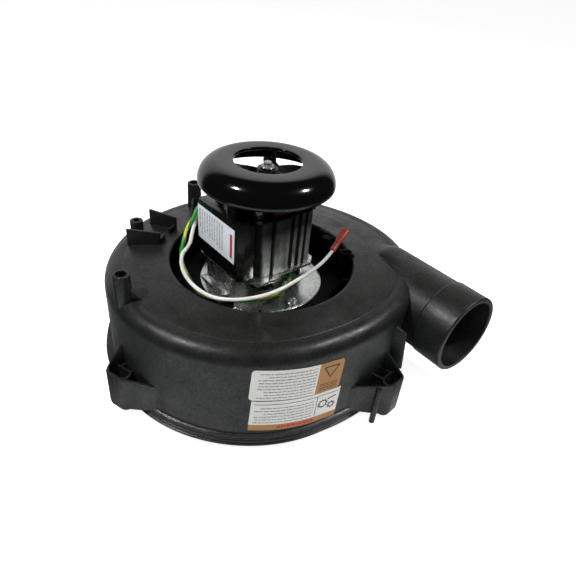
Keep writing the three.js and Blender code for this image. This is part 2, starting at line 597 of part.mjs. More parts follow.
function wheel() {
  const hub = ring([[SHAFT_RADIUS + GAP, 30], [9, 30], [12, WHEEL_HIGH - 4],
    [WHEEL_RADIUS, WHEEL_HIGH - 1.5], [WHEEL_RADIUS, WHEEL_HIGH], [SHAFT_RADIUS + GAP, WHEEL_HIGH]], 40);
  const front = ring([[WHEEL_EYE, WHEEL_LOW], [WHEEL_RADIUS, WHEEL_LOW],
    [WHEEL_RADIUS, WHEEL_LOW + 1.5], [WHEEL_EYE, WHEEL_LOW + 1.5]], 40);
  const blade = (turn) => {
    const outline = [];
    const steps = 2;
    for (const side of [0.6, -0.6]) {
      for (let i = 0; i <= steps; i += 1) {
        const share = side > 0 ? i / steps : 1 - i / steps;
        const radius = THREE.MathUtils.lerp(WHEEL_EYE + 0.5, WHEEL_RADIUS - 0.6, share);
        const [x, y] = polar(radius, turn - 16 * share ** 1.5);
        outline.push([x - side * Math.sin(radians(turn)), y + side * Math.cos(radians(turn))]);
      }
    }
    return prism(outline.reverse(), WHEEL_LOW + 0.5, WHEEL_HIGH - 0.5);
  };
  const blades = Array.from({ length: WHEEL_BLADES }, (_, k) => blade(k * 360 / WHEEL_BLADES));
  return join(hub, front, ...blades);
}

function wheelNut() {
  return hexNut([0, 0], SHAFT_RADIUS, 6, 26, 29.6);
}

function slinger() {
  return ring([[SHAFT_RADIUS + GAP, 78.5], [17, 78.5], [17, 79.7], [6.5, 80.2], [6.5, 84],
    [SHAFT_RADIUS + GAP, 84]], 32);
}

function shaftSeal() {
  return ring([[SHAFT_RADIUS + 0.8, 68], [10.4, 68], [10.4, DISC_TOP - DISC_THICKNESS - 3],
    [18, DISC_TOP - DISC_THICKNESS - 3], [18, DISC_TOP - DISC_THICKNESS - GAP],
    [SHAFT_RADIUS + 0.8, DISC_TOP - DISC_THICKNESS - GAP]], 32);
}

// ---------------------------------------------------------------- leads
class Route extends THREE.CatmullRomCurve3 {
  constructor(points) {
    super(points.map((point) => new THREE.Vector3(...point)), false, 'centripetal');
  }
}

function lead(points, radius, spacing) {
  const route = new Route(points);
  const section = new THREE.Shape();
  for (let k = 0; k < 8; k += 1) {
    const [x, y] = polar(radius, 45 * k + 22.5);
    if (k === 0) section.moveTo(x, y);
    else section.lineTo(x, y);
  }
  const steps = Math.round(route.getLength() / spacing);
  return new THREE.ExtrudeGeometry(section, { steps, extrudePath: route, bevelEnabled: false });
}

const WIRE_RADIUS = 1.5;
const WHITE_ROUTE = [
  [-26.6, -33.8, 131], [-31.2, -36.2, 130.6], [-33.9, -42, 129.3], [-30.7, -47, 123.6],
  [-26.6, -52, 117.2], [-21.5, -56.5, 114], [-18.9, -61, 111.2], [-17.8, -65, 108.6],
  [-14.2, -68.6, 104.6], [-5.5, -72.2, 102.6], [3.4, -73.5, 100], [13.2, -73.1, 98.2],
  [24.7, -70.6, 97.4], [33.2, -66.3, 97], [39.9, -59.3, 97], [44.2, -52.4, 97.1],
  [47.7, -44.1, 97.4], [50.4, -32.8, 97.7], [50.7, -20.5, 97.9], [48.8, -6.9, 98],
  [45.8, 8.3, 98], [43.1, 19, 98.1], [40, 29.8, 98.4], [36.1, 40.2, 99], [31.6, 50.6, 100.2]];
const GREEN_ROUTE = [
  [-26.6, -33.8, 139.4], [-31.2, -36, 139.2], [-32.9, -42.2, 135.9], [-31.2, -47.4, 129.2],
  [-32.3, -52, 121.8], [-30.6, -56.3, 115], [-27.6, -59.5, 110.9], [-25.2, -62.6, 105],
  [-19.9, -65, 100], [-10, -67.9, 97], [1.2, -69.1, 94], [13, -69.6, 92.2], [22, -66.6, 91.6],
  [31, -60.4, 91.6], [38, -52, 91.8], [43.4, -41, 91.8], [45.6, -29, 91], [43.4, -17, 87.4],
  [37, -7.5, 82.4], [29, 0.6, 78.6], [21.4, 9.4, 77]];
const TERMINAL_FROM = [31.4, 50.9, 100.3];
const TERMINAL_HEADING = 109;    // degrees anticlockwise from +X
const TERMINAL_RISE = 28;        // degrees above the level

function alongTerminal(piece) {
  return piece.rotate([0, 90 - TERMINAL_RISE, 0]).rotate([0, 0, TERMINAL_HEADING])
    .translate(TERMINAL_FROM);
}

function terminalSleeve() {
  const barrel = rod(2.7, 0, 13, [0, 0], 16).subtract(rod(1.9, -1, 4, [0, 0], 14));
  const spade = box([-2.4, -3.9, 12], [2.4, 3.9, 24.4]);
  const pocket = box([-1.5, -3.2, 14], [1.5, 3.2, 25]);
  return alongTerminal(join(barrel, spade).subtract(pocket));
}

function terminalSocket() {
  const body = box([-1.1, -2.8, 15], [1.1, 2.8, 23.6]);
  return alongTerminal(cut(body, box([-0.45, -2.2, 16], [0.45, 2.2, 24.4]),
    box([-0.2, -0.5, 14], [1.5, 0.5, 24.4])));
}

// The ground lead ends in a ring terminal, screwed to the disc under the motor.
const GROUND_AT = [15, 17];
const GROUND_HEADING = -50;      // the way from the screw to the wire
const GROUND_LOW = DISC_TOP + GAP;

function groundTerminal() {
  const tongue = box([0, -1.7, GROUND_LOW], [9.4, 1.7, GROUND_LOW + 1])
    .rotate([0, 0, GROUND_HEADING]).translate([...GROUND_AT, 0]);
  return cut(rod(4, GROUND_LOW, GROUND_LOW + 1, GROUND_AT, 18).add(tongue),
    rod(2, GROUND_LOW - 1, GROUND_LOW + 2, GROUND_AT, 12));
}

function groundScrew() {
  const low = GROUND_LOW + 1 + GAP;
  return join(rod(3.4, low, low + 2, GROUND_AT, 18),
    rod(1.5, DISC_TOP - 5, low + 0.1, GROUND_AT, 10));
}

// ---------------------------------------------------------------- labels on the front of the wall
const LABEL_WIDTH = 71;

// facing: the middle of the label, degrees anticlockwise from +X; tilt: degrees, negative is lower
// at the outlet side.
function wallLabel(low, high, facing, tilt) {
  const band = (radius, z0, z1) => scrollDrum([[0, z0], [radius, z0], [radius, z1], [0, z1]]);
  const skin = band(NOSE_RADIUS + 0.6, low - 10, high + 10)
    .subtract(band(NOSE_RADIUS + GAP, low - 11, high + 11));
  const window = box([60, -LABEL_WIDTH / 2, low], [160, LABEL_WIDTH / 2, high])
    .translate([0, 0, -45]).rotate([tilt, 0, 0]).translate([0, 0, 45])
    .rotate([0, 0, facing]);
  return skin.intersect(window);
}

// ---------------------------------------------------------------- assembly
const black = { color: 0x1b1d1f, roughness: 0.5, metalness: 0 };
const gloss = { color: 0x0b0b0c, roughness: 0.12, metalness: 0 };
const zinc = { color: 0xb4b8ba, roughness: 0.3, metalness: 1 };
const steel = { color: 0x9a9c9e, roughness: 0.3, metalness: 1 };
const rubber = { color: 0x141414, roughness: 0.8, metalness: 0 };
const copper = { color: 0x9c4a1e, roughness: 0.4, metalness: 0.8 };
const blackIron = { color: 0x111213, roughness: 0.28, metalness: 0.4 };
const brass = { color: 0xb08a45, roughness: 0.35, metalness: 1 };
const bronze = { color: 0x8a6a3c, roughness: 0.4, metalness: 1 };
const white = { color: 0xe9e9e4, roughness: 0.45, metalness: 0 };
const red = { color: 0xb3261d, roughness: 0.35, metalness: 0 };
const green = { color: 0x2e9b3a, roughness: 0.45, metalness: 0 };
const paper = { color: 0xe6e8e8, roughness: 0.5, metalness: 0 };

const blower = new THREE.Group();
function add(name, shape, look) {
  const geometry = shape instanceof THREE.BufferGeometry ? shape : geometryOf(shape);
  const mesh = new THREE.Mesh(geometry, new THREE.MeshStandardMaterial(look));
  mesh.name = name;
  blower.add(mesh);
  return mesh;
}

add('upper_housing', join(upperHousing(), ...PINS.map((one) => pin(one))), black);
add('base_cover', baseCover(), black);
add('housing_seal', housingSeal(), rubber);
add('inlet_gasket', inletGasket(), rubber);
COVER_SCREW_ANGLES.forEach((angle, k) => add(`cover_screw_${k + 1}`, coverScrew(angle), steel));
add('mounting_disc', mountingDisc(), zinc);
DISC_SCREW_ANGLES.forEach((angle, k) => add(`disc_screw_${k + 1}`, discScrew(angle), steel));
add('shaft_seal', shaftSeal(), rubber);
add('lower_bracket', lowerBracket(), zinc);
add('lower_bearing', bearing(BRACKET_TOP - BRACKET_THICKNESS - 7 + GAP), bronze);
add('stator_stack', statorStack(), blackIron);
['right', 'rear', 'left', 'front'].forEach((side, k) => add(`coil_${side}`, coil(90 * k), copper));
add('upper_bracket', upperBracket(), steel);
add('upper_bearing', bearing(STACK_HIGH + 1), bronze);
CORNERS.forEach((corner, k) => add(`through_bolt_${k + 1}`, throughBolt(corner), steel));
CORNERS.forEach((corner, k) => add(`bolt_nut_${k + 1}`, boltNut(corner), steel));
add('lead_cover', leadCover(), gloss);
add('motor_label', motorLabel(), paper);
add('fan_shroud', fanShroud(), gloss);
add('cooling_fan', coolingFan(), gloss);
add('push_nut', pushNut(), steel);
add('motor_shaft', shaft(), steel);
add('rotor_core', rotorCore(), steel);
add('blower_wheel', wheel(), black);
add('wheel_nut', wheelNut(), steel);
add('heat_slinger', slinger(), steel);
add('white_lead', lead(WHITE_ROUTE, WIRE_RADIUS, 7), white);
add('terminal_sleeve', terminalSleeve(), red);
add('terminal_socket', terminalSocket(), brass);
add('ground_lead', lead(GREEN_ROUTE, WIRE_RADIUS, 7), green);
add('ground_terminal', groundTerminal(), brass);
add('ground_screw', groundScrew(), green);
add('upper_wall_label', wallLabel(46, 75, -22.4, -3.6), paper);
add('lower_wall_label', wallLabel(14, 45, -21.2, -3.2), paper);

export default blower;
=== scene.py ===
"""Looks of a furnace draft blower: black scroll housing, small motor with a fan and a shroud.

Shapes are drawn in millimetres in the frame of the CAD model: +Z up along the motor axis, origin in
the middle of the inlet, outlet pipe along +X.
"""
import math
import random

import bmesh
import bpy
from mathutils import Matrix, Vector


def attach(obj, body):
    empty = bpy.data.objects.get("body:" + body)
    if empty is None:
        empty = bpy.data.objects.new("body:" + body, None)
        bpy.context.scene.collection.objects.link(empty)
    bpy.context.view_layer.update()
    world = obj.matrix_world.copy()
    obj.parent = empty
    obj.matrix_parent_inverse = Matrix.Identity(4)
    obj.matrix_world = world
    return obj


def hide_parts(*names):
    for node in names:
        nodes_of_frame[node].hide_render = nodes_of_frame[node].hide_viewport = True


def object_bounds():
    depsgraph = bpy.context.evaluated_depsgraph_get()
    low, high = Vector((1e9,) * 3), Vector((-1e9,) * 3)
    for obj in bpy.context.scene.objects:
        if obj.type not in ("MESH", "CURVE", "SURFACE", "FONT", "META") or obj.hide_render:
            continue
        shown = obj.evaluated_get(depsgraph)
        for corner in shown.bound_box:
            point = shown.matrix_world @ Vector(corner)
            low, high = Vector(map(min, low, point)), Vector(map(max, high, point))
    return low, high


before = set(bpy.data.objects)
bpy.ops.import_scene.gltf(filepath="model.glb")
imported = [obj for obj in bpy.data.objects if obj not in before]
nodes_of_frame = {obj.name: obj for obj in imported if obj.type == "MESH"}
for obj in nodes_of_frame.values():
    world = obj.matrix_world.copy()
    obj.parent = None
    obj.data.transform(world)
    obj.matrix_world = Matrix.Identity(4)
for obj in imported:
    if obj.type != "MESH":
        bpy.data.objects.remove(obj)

MM = 0.001
cad_low, cad_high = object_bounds()
scene = bpy.context.scene


# ---- camera
CAMERA_AT = Vector((298.57, -229.99, 327.03)) * MM
CAMERA_AHEAD = Vector((-0.61585, 0.54104, -0.57272))
CAMERA_ROLL = math.radians(5.57)
CAMERA_LENS = 32.5


def add_camera():
    side = CAMERA_AHEAD.cross(Vector((0, 0, 1))).normalized()
    above = side.cross(CAMERA_AHEAD).normalized()
    right = side * math.cos(CAMERA_ROLL) + above * math.sin(CAMERA_ROLL)
    up = above * math.cos(CAMERA_ROLL) - side * math.sin(CAMERA_ROLL)
    data = bpy.data.cameras.new("camera")
    data.lens = CAMERA_LENS
    data.sensor_width = 36
    data.clip_start = 0.01
    camera = bpy.data.objects.new("camera", data)
    axes = Matrix((right, up, -CAMERA_AHEAD)).transposed()
    camera.matrix_world = Matrix.Translation(CAMERA_AT) @ axes.to_4x4()
    scene.collection.objects.link(camera)
    scene.camera = camera


add_camera()


# ---- materials
WELL_SHADE_RADIUS = 76  # radius of the motor well, inside which the plastic gets painted shade
STACK_HALF = 31  # half the width of the stack; its flat faces show bare steel, while its grooves and chamfers, inward of them, get painted shade
STACK_SHADOW = (114, 136)  # between these heights a painted shadow of the shroud darkens the stack, nearly black at the top


class Look:
    """A node material built up step by step round one Principled shader."""

    def __init__(self, name, colour, roughness, metallic=0.0):
        self.material = bpy.data.materials.new(name)
        self.material.use_nodes = True
        self.tree = self.material.node_tree
        self.shader = self.tree.nodes["Principled BSDF"]
        self.shader.inputs["Base Color"].default_value = (*colour, 1)
        self.shader.inputs["Roughness"].default_value = roughness
        self.shader.inputs["Metallic"].default_value = metallic
        self.at = self.node("ShaderNodeTexCoord").outputs["Object"]
        self.bumped = None

    def node(self, kind, **values):
        made = self.tree.nodes.new(kind)
        for key, value in values.items():
            setattr(made, key, value)
        return made

    def link(self, start, end):
        self.tree.links.new(start, end)

    def stretched(self, scale, turn=(0, 0, 0)):
        mapping = self.node("ShaderNodeMapping")
        mapping.inputs["Scale"].default_value = scale
        mapping.inputs["Rotation"].default_value = turn
        self.link(self.at, mapping.inputs["Vector"])
        return mapping.outputs["Vector"]

    def noise(self, scale, detail, rough=0.55, vector=None):
        made = self.node("ShaderNodeTexNoise")
        made.inputs["Scale"].default_value = scale
        made.inputs["Detail"].default_value = detail
        made.inputs["Roughness"].default_value = rough
        self.link(vector or self.at, made.inputs["Vector"])
        return made.outputs["Fac"]

    def ranged(self, value, low, high, to_low, to_high):
        made = self.node("ShaderNodeMapRange")
        ends = {"From Min": low, "From Max": high, "To Min": to_low, "To Max": to_high}
        for key, number in ends.items():
            made.inputs[key].default_value = number
        self.link(value, made.inputs["Value"])
        return made.outputs["Result"]

    def upward(self, low, high):
        """0 where the surface faces sideways, 1 where it faces up."""
        split = self.node("ShaderNodeSeparateXYZ")
        self.link(self.node("ShaderNodeNewGeometry").outputs["Normal"], split.inputs[0])
        return self.ranged(split.outputs["Z"], low, high, 0, 1)

    def near_axis(self, radius_mm, soft_mm, inside, outside):
        """One value near the motor axis, another beyond radius_mm."""
        flat = self.node("ShaderNodeVectorMath", operation="MULTIPLY")
        flat.inputs[1].default_value = (1, 1, 0)
        length = self.node("ShaderNodeVectorMath", operation="LENGTH")
        self.link(self.at, flat.inputs[0])
        self.link(flat.outputs["Vector"], length.inputs[0])
        start, end = radius_mm * MM, (radius_mm + soft_mm) * MM
        return self.ranged(length.outputs["Value"], start, end, inside, outside)

    def layers(self, scale, distortion=0.0):
        """Thin bands, one above the other."""
        made = self.node("ShaderNodeTexWave", wave_type="BANDS", bands_direction="Z")
        made.inputs["Scale"].default_value = scale
        made.inputs["Distortion"].default_value = distortion
        self.link(self.at, made.inputs["Vector"])
        return made.outputs["Fac"]

    def tint(self, factor, colour):
        """Mixes colour over what the shader has so far, by factor."""
        mix = self.node("ShaderNodeMix", data_type="RGBA")
        socket = self.shader.inputs["Base Color"]
        if socket.is_linked:
            self.link(socket.links[0].from_socket, mix.inputs[6])
        else:
            mix.inputs[6].default_value = socket.default_value[:]
        mix.inputs[7].default_value = (*colour, 1)
        self.link(factor, mix.inputs[0])
        self.link(mix.outputs[2], socket)

    def patches(self, pattern, low, high, share, colour):
        """Tints by a share that grows from nothing where the pattern is low."""
        self.tint(self.ranged(pattern, low, high, 0, share), colour)

    def rough(self, value, low, high):
        self.link(self.ranged(value, 0.3, 0.7, low, high), self.shader.inputs["Roughness"])

    def bump(self, height, strength, depth_mm):
        made = self.node("ShaderNodeBump")
        made.inputs["Strength"].default_value = strength
        made.inputs["Distance"].default_value = depth_mm * MM
        self.link(height, made.inputs["Height"])
        if self.bumped:
            self.link(self.bumped, made.inputs["Normal"])
        self.bumped = made.outputs["Normal"]
        self.link(self.bumped, self.shader.inputs["Normal"])

    def edge_wear(self, factor, colour):
        """Lightens convex edges."""
        pointed = self.node("ShaderNodeNewGeometry").outputs["Pointiness"]
        self.patches(pointed, 0.545, 0.64, factor, colour)


def scaled(colour, factor):
    return [factor * c for c in colour]


def moulded(name, colour, dusty, roughness, grain=0.12):
    """Black moulded plastic, a little chalky on top, with painted shade in the motor well, where it
    is darker and reflects less.
    """
    look = Look(name, colour, roughness)
    look.patches(look.noise(16, 6, 0.6), 0.38, 0.66, 0.6, scaled(colour, 1.7))
    look.tint(look.upward(0.25, 0.95), dusty)
    look.patches(look.noise(34, 8, 0.68), 0.42, 0.66, 0.7, scaled(dusty, 0.45))
    look.patches(look.noise(950, 3, 0.6), 0.60, 0.74, 0.3, scaled(dusty, 2.8))
    scuffs = look.noise(70, 5, 0.7, look.stretched((1, 0.22, 1), (0, 0, 0.6)))
    look.patches(scuffs, 0.64, 0.76, 0.35, scaled(dusty, 2.4))
    look.edge_wear(0.4, scaled(dusty, 3))
    # Painted shade in the motor well: the plastic there is tinted much darker.
    look.tint(look.near_axis(WELL_SHADE_RADIUS, 2, 0.85, 0), scaled(colour, 0.12))
    sheen = look.ranged(look.noise(420, 7, 0.8), 0.34, 0.66, 0.28, 0.66)
    shaded = look.node("ShaderNodeMath", operation="MULTIPLY")
    look.link(sheen, shaded.inputs[0])
    # Painted shade in the motor well: its reflection is turned down there as well.
    look.link(look.near_axis(WELL_SHADE_RADIUS, 2, 0.06, 1), shaded.inputs[1])
    look.link(shaded.outputs[0], look.shader.inputs["Specular IOR Level"])
    look.rough(look.noise(60, 8, 0.75), roughness - 0.13, roughness + 0.14)
    look.bump(look.noise(2100, 2, 0.5), grain, 0.3)
    look.bump(look.noise(210, 5, 0.7), grain * 1.6, 0.5)
    return look


def glossy(name, colour, roughness):
    look = Look(name, colour, roughness)
    look.rough(look.noise(60, 6, 0.7), roughness - 0.03, roughness + 0.05)
    look.patches(look.noise(900, 2), 0.68, 0.74, 0.3, (0.03, 0.03, 0.03))
    look.bump(look.noise(90, 3), 0.03, 0.3)
    return look


def galvanised():
    """Zinc with flat crystals of slightly different brightness."""
    look = Look("zinc_look", (0.7, 0.72, 0.7), 0.3, metallic=0.95)
    crystals = look.node("ShaderNodeTexVoronoi")
    crystals.inputs["Scale"].default_value = 190
    look.link(look.at, crystals.inputs["Vector"])
    tone = look.node("ShaderNodeSeparateColor")
    look.link(crystals.outputs["Color"], tone.inputs[0])
    look.patches(tone.outputs[0], 0, 1, 0.55, (0.40, 0.42, 0.40))
    look.patches(look.noise(420, 5, 0.75), 0.48, 0.66, 0.6, (0.28, 0.29, 0.28))
    look.rough(look.noise(300, 5, 0.7), 0.14, 0.32)
    look.bump(tone.outputs[1], 0.10, 0.05)
    look.bump(look.noise(1200, 3, 0.6), 0.12, 0.06)
    return look


def metal(name, colour, roughness, grain=(1, 1, 1)):
    look = Look(name, colour, roughness, metallic=1.0)
    look.patches(look.noise(120, 5, 0.65), 0.4, 0.7, 0.4, scaled(colour, 0.55))
    look.rough(look.noise(260, 4, 0.6), roughness - 0.07, roughness + 0.12)
    look.bump(look.noise(900, 3, 0.6, look.stretched(grain)), 0.18, 0.06)
    return look


def plain_film(name, colour):
    look = Look(name, colour, 0.42)
    look.shader.inputs["Specular IOR Level"].default_value = 0.2
    look.patches(look.noise(60, 5, 0.6), 0.45, 0.75, 0.35, scaled(colour, 0.82))
    look.bump(look.noise(700, 2), 0.05, 0.05)
    return look


def laminations():
    """Edges of stacked steel sheets under patchy black varnish, with a painted shadow of the shroud
    towards the top and painted shade in the grooves and on the chamfers.
    """
    look = Look("varnished_laminations_painted_shade", (0.62, 0.64, 0.61), 0.4, metallic=0.8)
    look.bump(look.layers(1000, 0.6), 0.3, 0.08)
    look.patches(look.noise(1300, 5, 0.75), 0.42, 0.62, 0.7, (0.14, 0.145, 0.14))
    streaks = look.noise(90, 5, 0.7, look.stretched((1, 1, 0.3)))
    look.patches(streaks, 0.48, 0.64, 0.6, (0.05, 0.052, 0.05))
    place = look.node("ShaderNodeSeparateXYZ")
    look.link(look.at, place.inputs[0])
    # Painted shadow of the shroud: the stack turns nearly black towards its top.
    look.patches(place.outputs["Z"], *[z * MM for z in STACK_SHADOW], 0.93, (0.008, 0.008, 0.008))
    # Painted shade: the grooves and chamfers, inward of the flat faces, turn nearly black.
    flat_face = look.node("ShaderNodeMath", operation="MAXIMUM")
    for axis in range(2):
        reach = look.node("ShaderNodeMath", operation="ABSOLUTE")
        look.link(place.outputs[axis], reach.inputs[0])
        look.link(reach.outputs[0], flat_face.inputs[axis])
    groove_shade = look.ranged(flat_face.outputs[0], (STACK_HALF - 1.5) * MM, (STACK_HALF - 0.2) * MM,
                          0.93, 0)
    look.tint(groove_shade, (0.006, 0.006, 0.006))
    look.bump(look.noise(480, 6, 0.7), 0.35, 0.25)
    look.rough(look.noise(300, 5, 0.7), 0.3, 0.5)
    return look


def insulation(name, colour, dirt):
    look = Look(name, colour, 0.38)
    look.shader.inputs["Subsurface Weight"].default_value = 0.08
    look.shader.inputs["Subsurface Scale"].default_value = 0.002
    look.patches(look.noise(140, 6, 0.65), 0.45, 0.72, 0.5, dirt)
    look.bump(look.noise(500, 3), 0.08, 0.1)
    return look


def winding():
    look = Look("varnished_copper", (0.26, 0.09, 0.035), 0.36, metallic=0.9)
    look.bump(look.layers(420), 0.8, 0.4)
    look.patches(look.noise(200, 4), 0.4, 0.7, 0.6, (0.16, 0.04, 0.015))
    return look


housing_black = moulded("housing_plastic_look", (0.0065, 0.0077, 0.0082),
                        (0.0125, 0.0127, 0.0116), 0.41)
cover_black = moulded("cover_plastic_look", (0.0075, 0.0088, 0.0094), (0.012, 0.0124, 0.012), 0.38)
wheel_black = moulded("wheel_plastic_look", (0.012, 0.012, 0.013), (0.016, 0.016, 0.0155), 0.5)
gloss_black = glossy("gloss_plastic_look", (0.0016, 0.0017, 0.0018), 0.11)
cover_gloss = glossy("lead_cover_look", (0.003, 0.003, 0.003), 0.24)
fan_black = glossy("fan_plastic_look", (0.003, 0.003, 0.0032), 0.3)
stack_black = laminations()
zinc = galvanised()
steel = metal("steel_look", (0.56, 0.57, 0.58), 0.27, (1, 1, 0.1))
dark_steel = metal("dark_steel_look", (0.05, 0.05, 0.052), 0.34)
turned_steel = metal("turned_steel_look", (0.5, 0.5, 0.51), 0.3, (1, 1, 6))
bronze = metal("bronze_look", (0.45, 0.31, 0.15), 0.42)
brass = metal("tinned_brass_look", (0.66, 0.6, 0.46), 0.3)
copper = winding()
rubber = moulded("rubber_look", (0.012, 0.012, 0.012), (0.02, 0.02, 0.02), 0.75, 0.3)
white_wire = insulation("white_insulation_look", (0.80, 0.79, 0.74), (0.52, 0.49, 0.40))
green_wire = insulation("green_insulation_look", (0.035, 0.34, 0.05), (0.02, 0.18, 0.03))
yellow_wire = insulation("yellow_stripe_look", (0.72, 0.70, 0.10), (0.5, 0.47, 0.08))
red_sleeve = insulation("red_insulation_look", (0.34, 0.045, 0.03), (0.16, 0.02, 0.016))
green_paint = insulation("green_paint_look", (0.03, 0.28, 0.07), (0.015, 0.13, 0.03))
film_white = plain_film("film_white_look", (0.54, 0.55, 0.52))
film_blue = plain_film("film_blue_look", (0.62, 0.66, 0.70))
film_ochre = plain_film("film_ochre_look", (0.31, 0.155, 0.052))
ink_grey = plain_film("ink_grey_look", (0.20, 0.20, 0.20))
ink_dark = plain_film("ink_dark_look", (0.025, 0.024, 0.022))
ink_red = plain_film("ink_red_look", (0.42, 0.03, 0.035))


# ---- shapes, in millimetres
SHARP_ANGLE = math.radians(32)  # edges that turn by more than this are rounded
ROD_SIDES = 40
FIN_EDGE = 0.35


def polar(radius, degrees):
    return radius * math.cos(math.radians(degrees)), radius * math.sin(math.radians(degrees))


def compass(count):
    """Cosine and sine of evenly spaced directions all round."""
    turns = [2 * math.pi * k / count for k in range(count)]
    return [(math.cos(turn), math.sin(turn)) for turn in turns]


def rounded(corners, loop=True, steps=4):
    """Points through corners given as (x, y) or (x, y, fillet radius), with the fillets as arcs."""
    points = []
    count = len(corners)
    for i, corner in enumerate(corners):
        here = Vector(corner[:2])
        radius = corner[2] if len(corner) > 2 else 0
        if radius == 0 or (not loop and i in (0, count - 1)):
            points.append(tuple(here))
            continue
        before = (Vector(corners[i - 1][:2]) - here).normalized()
        after = (Vector(corners[(i + 1) % count][:2]) - here).normalized()
        half = before.angle(after) / 2
        middle = here + (before + after).normalized() * (radius / math.sin(half))
        start = here + before * (radius / math.tan(half)) - middle
        end = here + after * (radius / math.tan(half)) - middle
        sweep = start.angle_signed(end)
        for k in range(steps + 1):
            turn = -sweep * k / steps
            points.append(tuple(middle + Matrix.Rotation(turn, 2) @ start))
    return points


def lathe(profile, steps):
    """Turns a closed outline of (radius, z) round the Z axis."""
    bm = bmesh.new()
    rings = [[bm.verts.new((r * c, r * s, z)) for r, z in profile] for c, s in compass(steps)]
    for ring, following in zip(rings, rings[1:] + rings[:1]):
        for i in range(len(profile)):
            j = (i + 1) % len(profile)
            if profile[i][0] < 1e-6 and profile[j][0] < 1e-6:
                continue
            bm.faces.new((ring[i], following[i], following[j], ring[j]))
    return closed(bm)


def annulus(bore, radius, low, high, steps=96):
    return lathe([(bore, low), (radius, low), (radius, high), (bore, high)], steps)


def turned(corners, steps, arc=4):
    """Turns an outline of corners with fillets."""
    return lathe(rounded(corners, steps=arc), steps)


def skinned(bm, rings):
    """Joins rings of points into one closed solid and gives the faces along its side."""
    faces = []
    for a, b in zip(rings, rings[1:]):
        for k in range(len(a)):
            j = (k + 1) % len(a)
            faces.append(bm.faces.new((a[k], a[j], b[j], b[k])))
    bm.faces.new(rings[0][::-1])
    bm.faces.new(rings[-1])
    return faces


def closed(bm):
    """Welds a shape's points, drops its slivers and turns its faces outwards."""
    bmesh.ops.remove_doubles(bm, verts=bm.verts, dist=1e-4)
    bmesh.ops.dissolve_degenerate(bm, edges=bm.edges, dist=1e-5)
    bmesh.ops.recalc_face_normals(bm, faces=bm.faces)
    if bm.calc_volume(signed=True) < 0:
        bmesh.ops.reverse_faces(bm, faces=bm.faces)
    return bm


def soften(bm, width, segments=2):
    """Rounds every sharp edge."""
    if width:
        sharp = [e for e in bm.edges if e.is_manifold and e.calc_face_angle() > SHARP_ANGLE]
        bmesh.ops.bevel(bm, geom=sharp, offset=width, segments=segments, profile=0.5,
                        affect="EDGES", clamp_overlap=True)
        bmesh.ops.remove_doubles(bm, verts=bm.verts, dist=1e-4)
    return bm


def prism(outline, low, high, edge=0.0):
    bm = bmesh.new()
    base = bm.faces.new([bm.verts.new((x, y, low)) for x, y in outline])
    raised = bmesh.ops.extrude_face_region(bm, geom=[base])["geom"]
    lifted = [one for one in raised if isinstance(one, bmesh.types.BMVert)]
    bmesh.ops.translate(bm, vec=(0, 0, high - low), verts=lifted)
    return soften(closed(bm), edge)


def block(low, high, edge=0.0):
    corners = [(low[0], low[1]), (high[0], low[1]), (high[0], high[1]), (low[0], high[1])]
    return prism(corners, low[2], high[2], edge)


def rod(radius, low, high, at=(0, 0), edge=0.0):
    outline = [(0, low), (radius, low, edge), (radius, high, edge), (0, high)]
    return moved(turned(outline, ROD_SIDES, 3), at=(*at, 0))


def moved(bm, turn=0.0, at=(0, 0, 0), lean=0.0):
    """Leans a shape about X, turns it about Z, both in degrees, and moves it."""
    matrix = (Matrix.Translation(at) @ Matrix.Rotation(math.radians(turn), 4, "Z")
              @ Matrix.Rotation(math.radians(lean), 4, "X"))
    bmesh.ops.transform(bm, matrix=matrix, verts=bm.verts)
    return bm


def fin(at, degrees, outline, thickness):
    """A plate on edge, its outline given as (outwards, up), facing the direction in degrees."""
    bm = prism(outline, -thickness / 2, thickness / 2, FIN_EDGE)
    return moved(moved(bm, lean=90), turn=degrees, at=(at[0], at[1], 0))


def stepped(length, low, high, near_high=None):
    """The outline of a fin with a level foot, and a top that may be higher at its start."""
    return [(0, low), (length, low), (length, high), (0, near_high or high)]


def obround(length, width, low, high, edge=0.0):
    half, steps = (length - width) / 2, 14
    outline = []
    for side in (1, -1):
        for k in range(steps + 1):
            turn = math.pi * (k / steps - 0.5)
            outline.append((side * (half + width / 2 * math.cos(turn)),
                            side * width / 2 * math.sin(turn)))
    return prism(outline, low, high, edge)


def mesh_object(name, bm, look=None, smooth=34):
    mesh = bpy.data.meshes.new(name)
    bm.to_mesh(mesh)
    bm.free()
    made = bpy.data.objects.new(name, mesh)
    scene.collection.objects.link(made)
    if look:
        mesh.materials.append(look.material)
    mesh.shade_smooth()
    mesh.set_sharp_from_angle(angle=math.radians(smooth))
    return made


def merged(name, bodies, cuts=()):
    """Joins bodies, then cuts, with booleans, and gives the result as one bmesh."""
    base = mesh_object(name, bodies[0])
    helpers = []
    for kind, shapes in (("UNION", bodies[1:]), ("DIFFERENCE", cuts)):
        for shape in shapes:
            helper = mesh_object("helper", shape)
            helpers.append(helper)
            step = base.modifiers.new("step", "BOOLEAN")
            step.operation = kind
            step.solver = "MANIFOLD"
            step.object = helper
    result = bmesh.new()
    result.from_object(base, bpy.context.evaluated_depsgraph_get())
    for made in [base, *helpers]:
        bpy.data.objects.remove(made)
    return closed(result)


def piece(name, bm, look, node, body="housing", smooth=34):
    """Scales a shape to metres, gives it its look, and lets it stand for a CAD node."""
    bmesh.ops.scale(bm, vec=(MM, MM, MM), verts=bm.verts)
    made = mesh_object(name, bm, look, smooth)
    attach(made, body)
    for one in [node] if isinstance(node, str) else node:
        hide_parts(one)
    return made


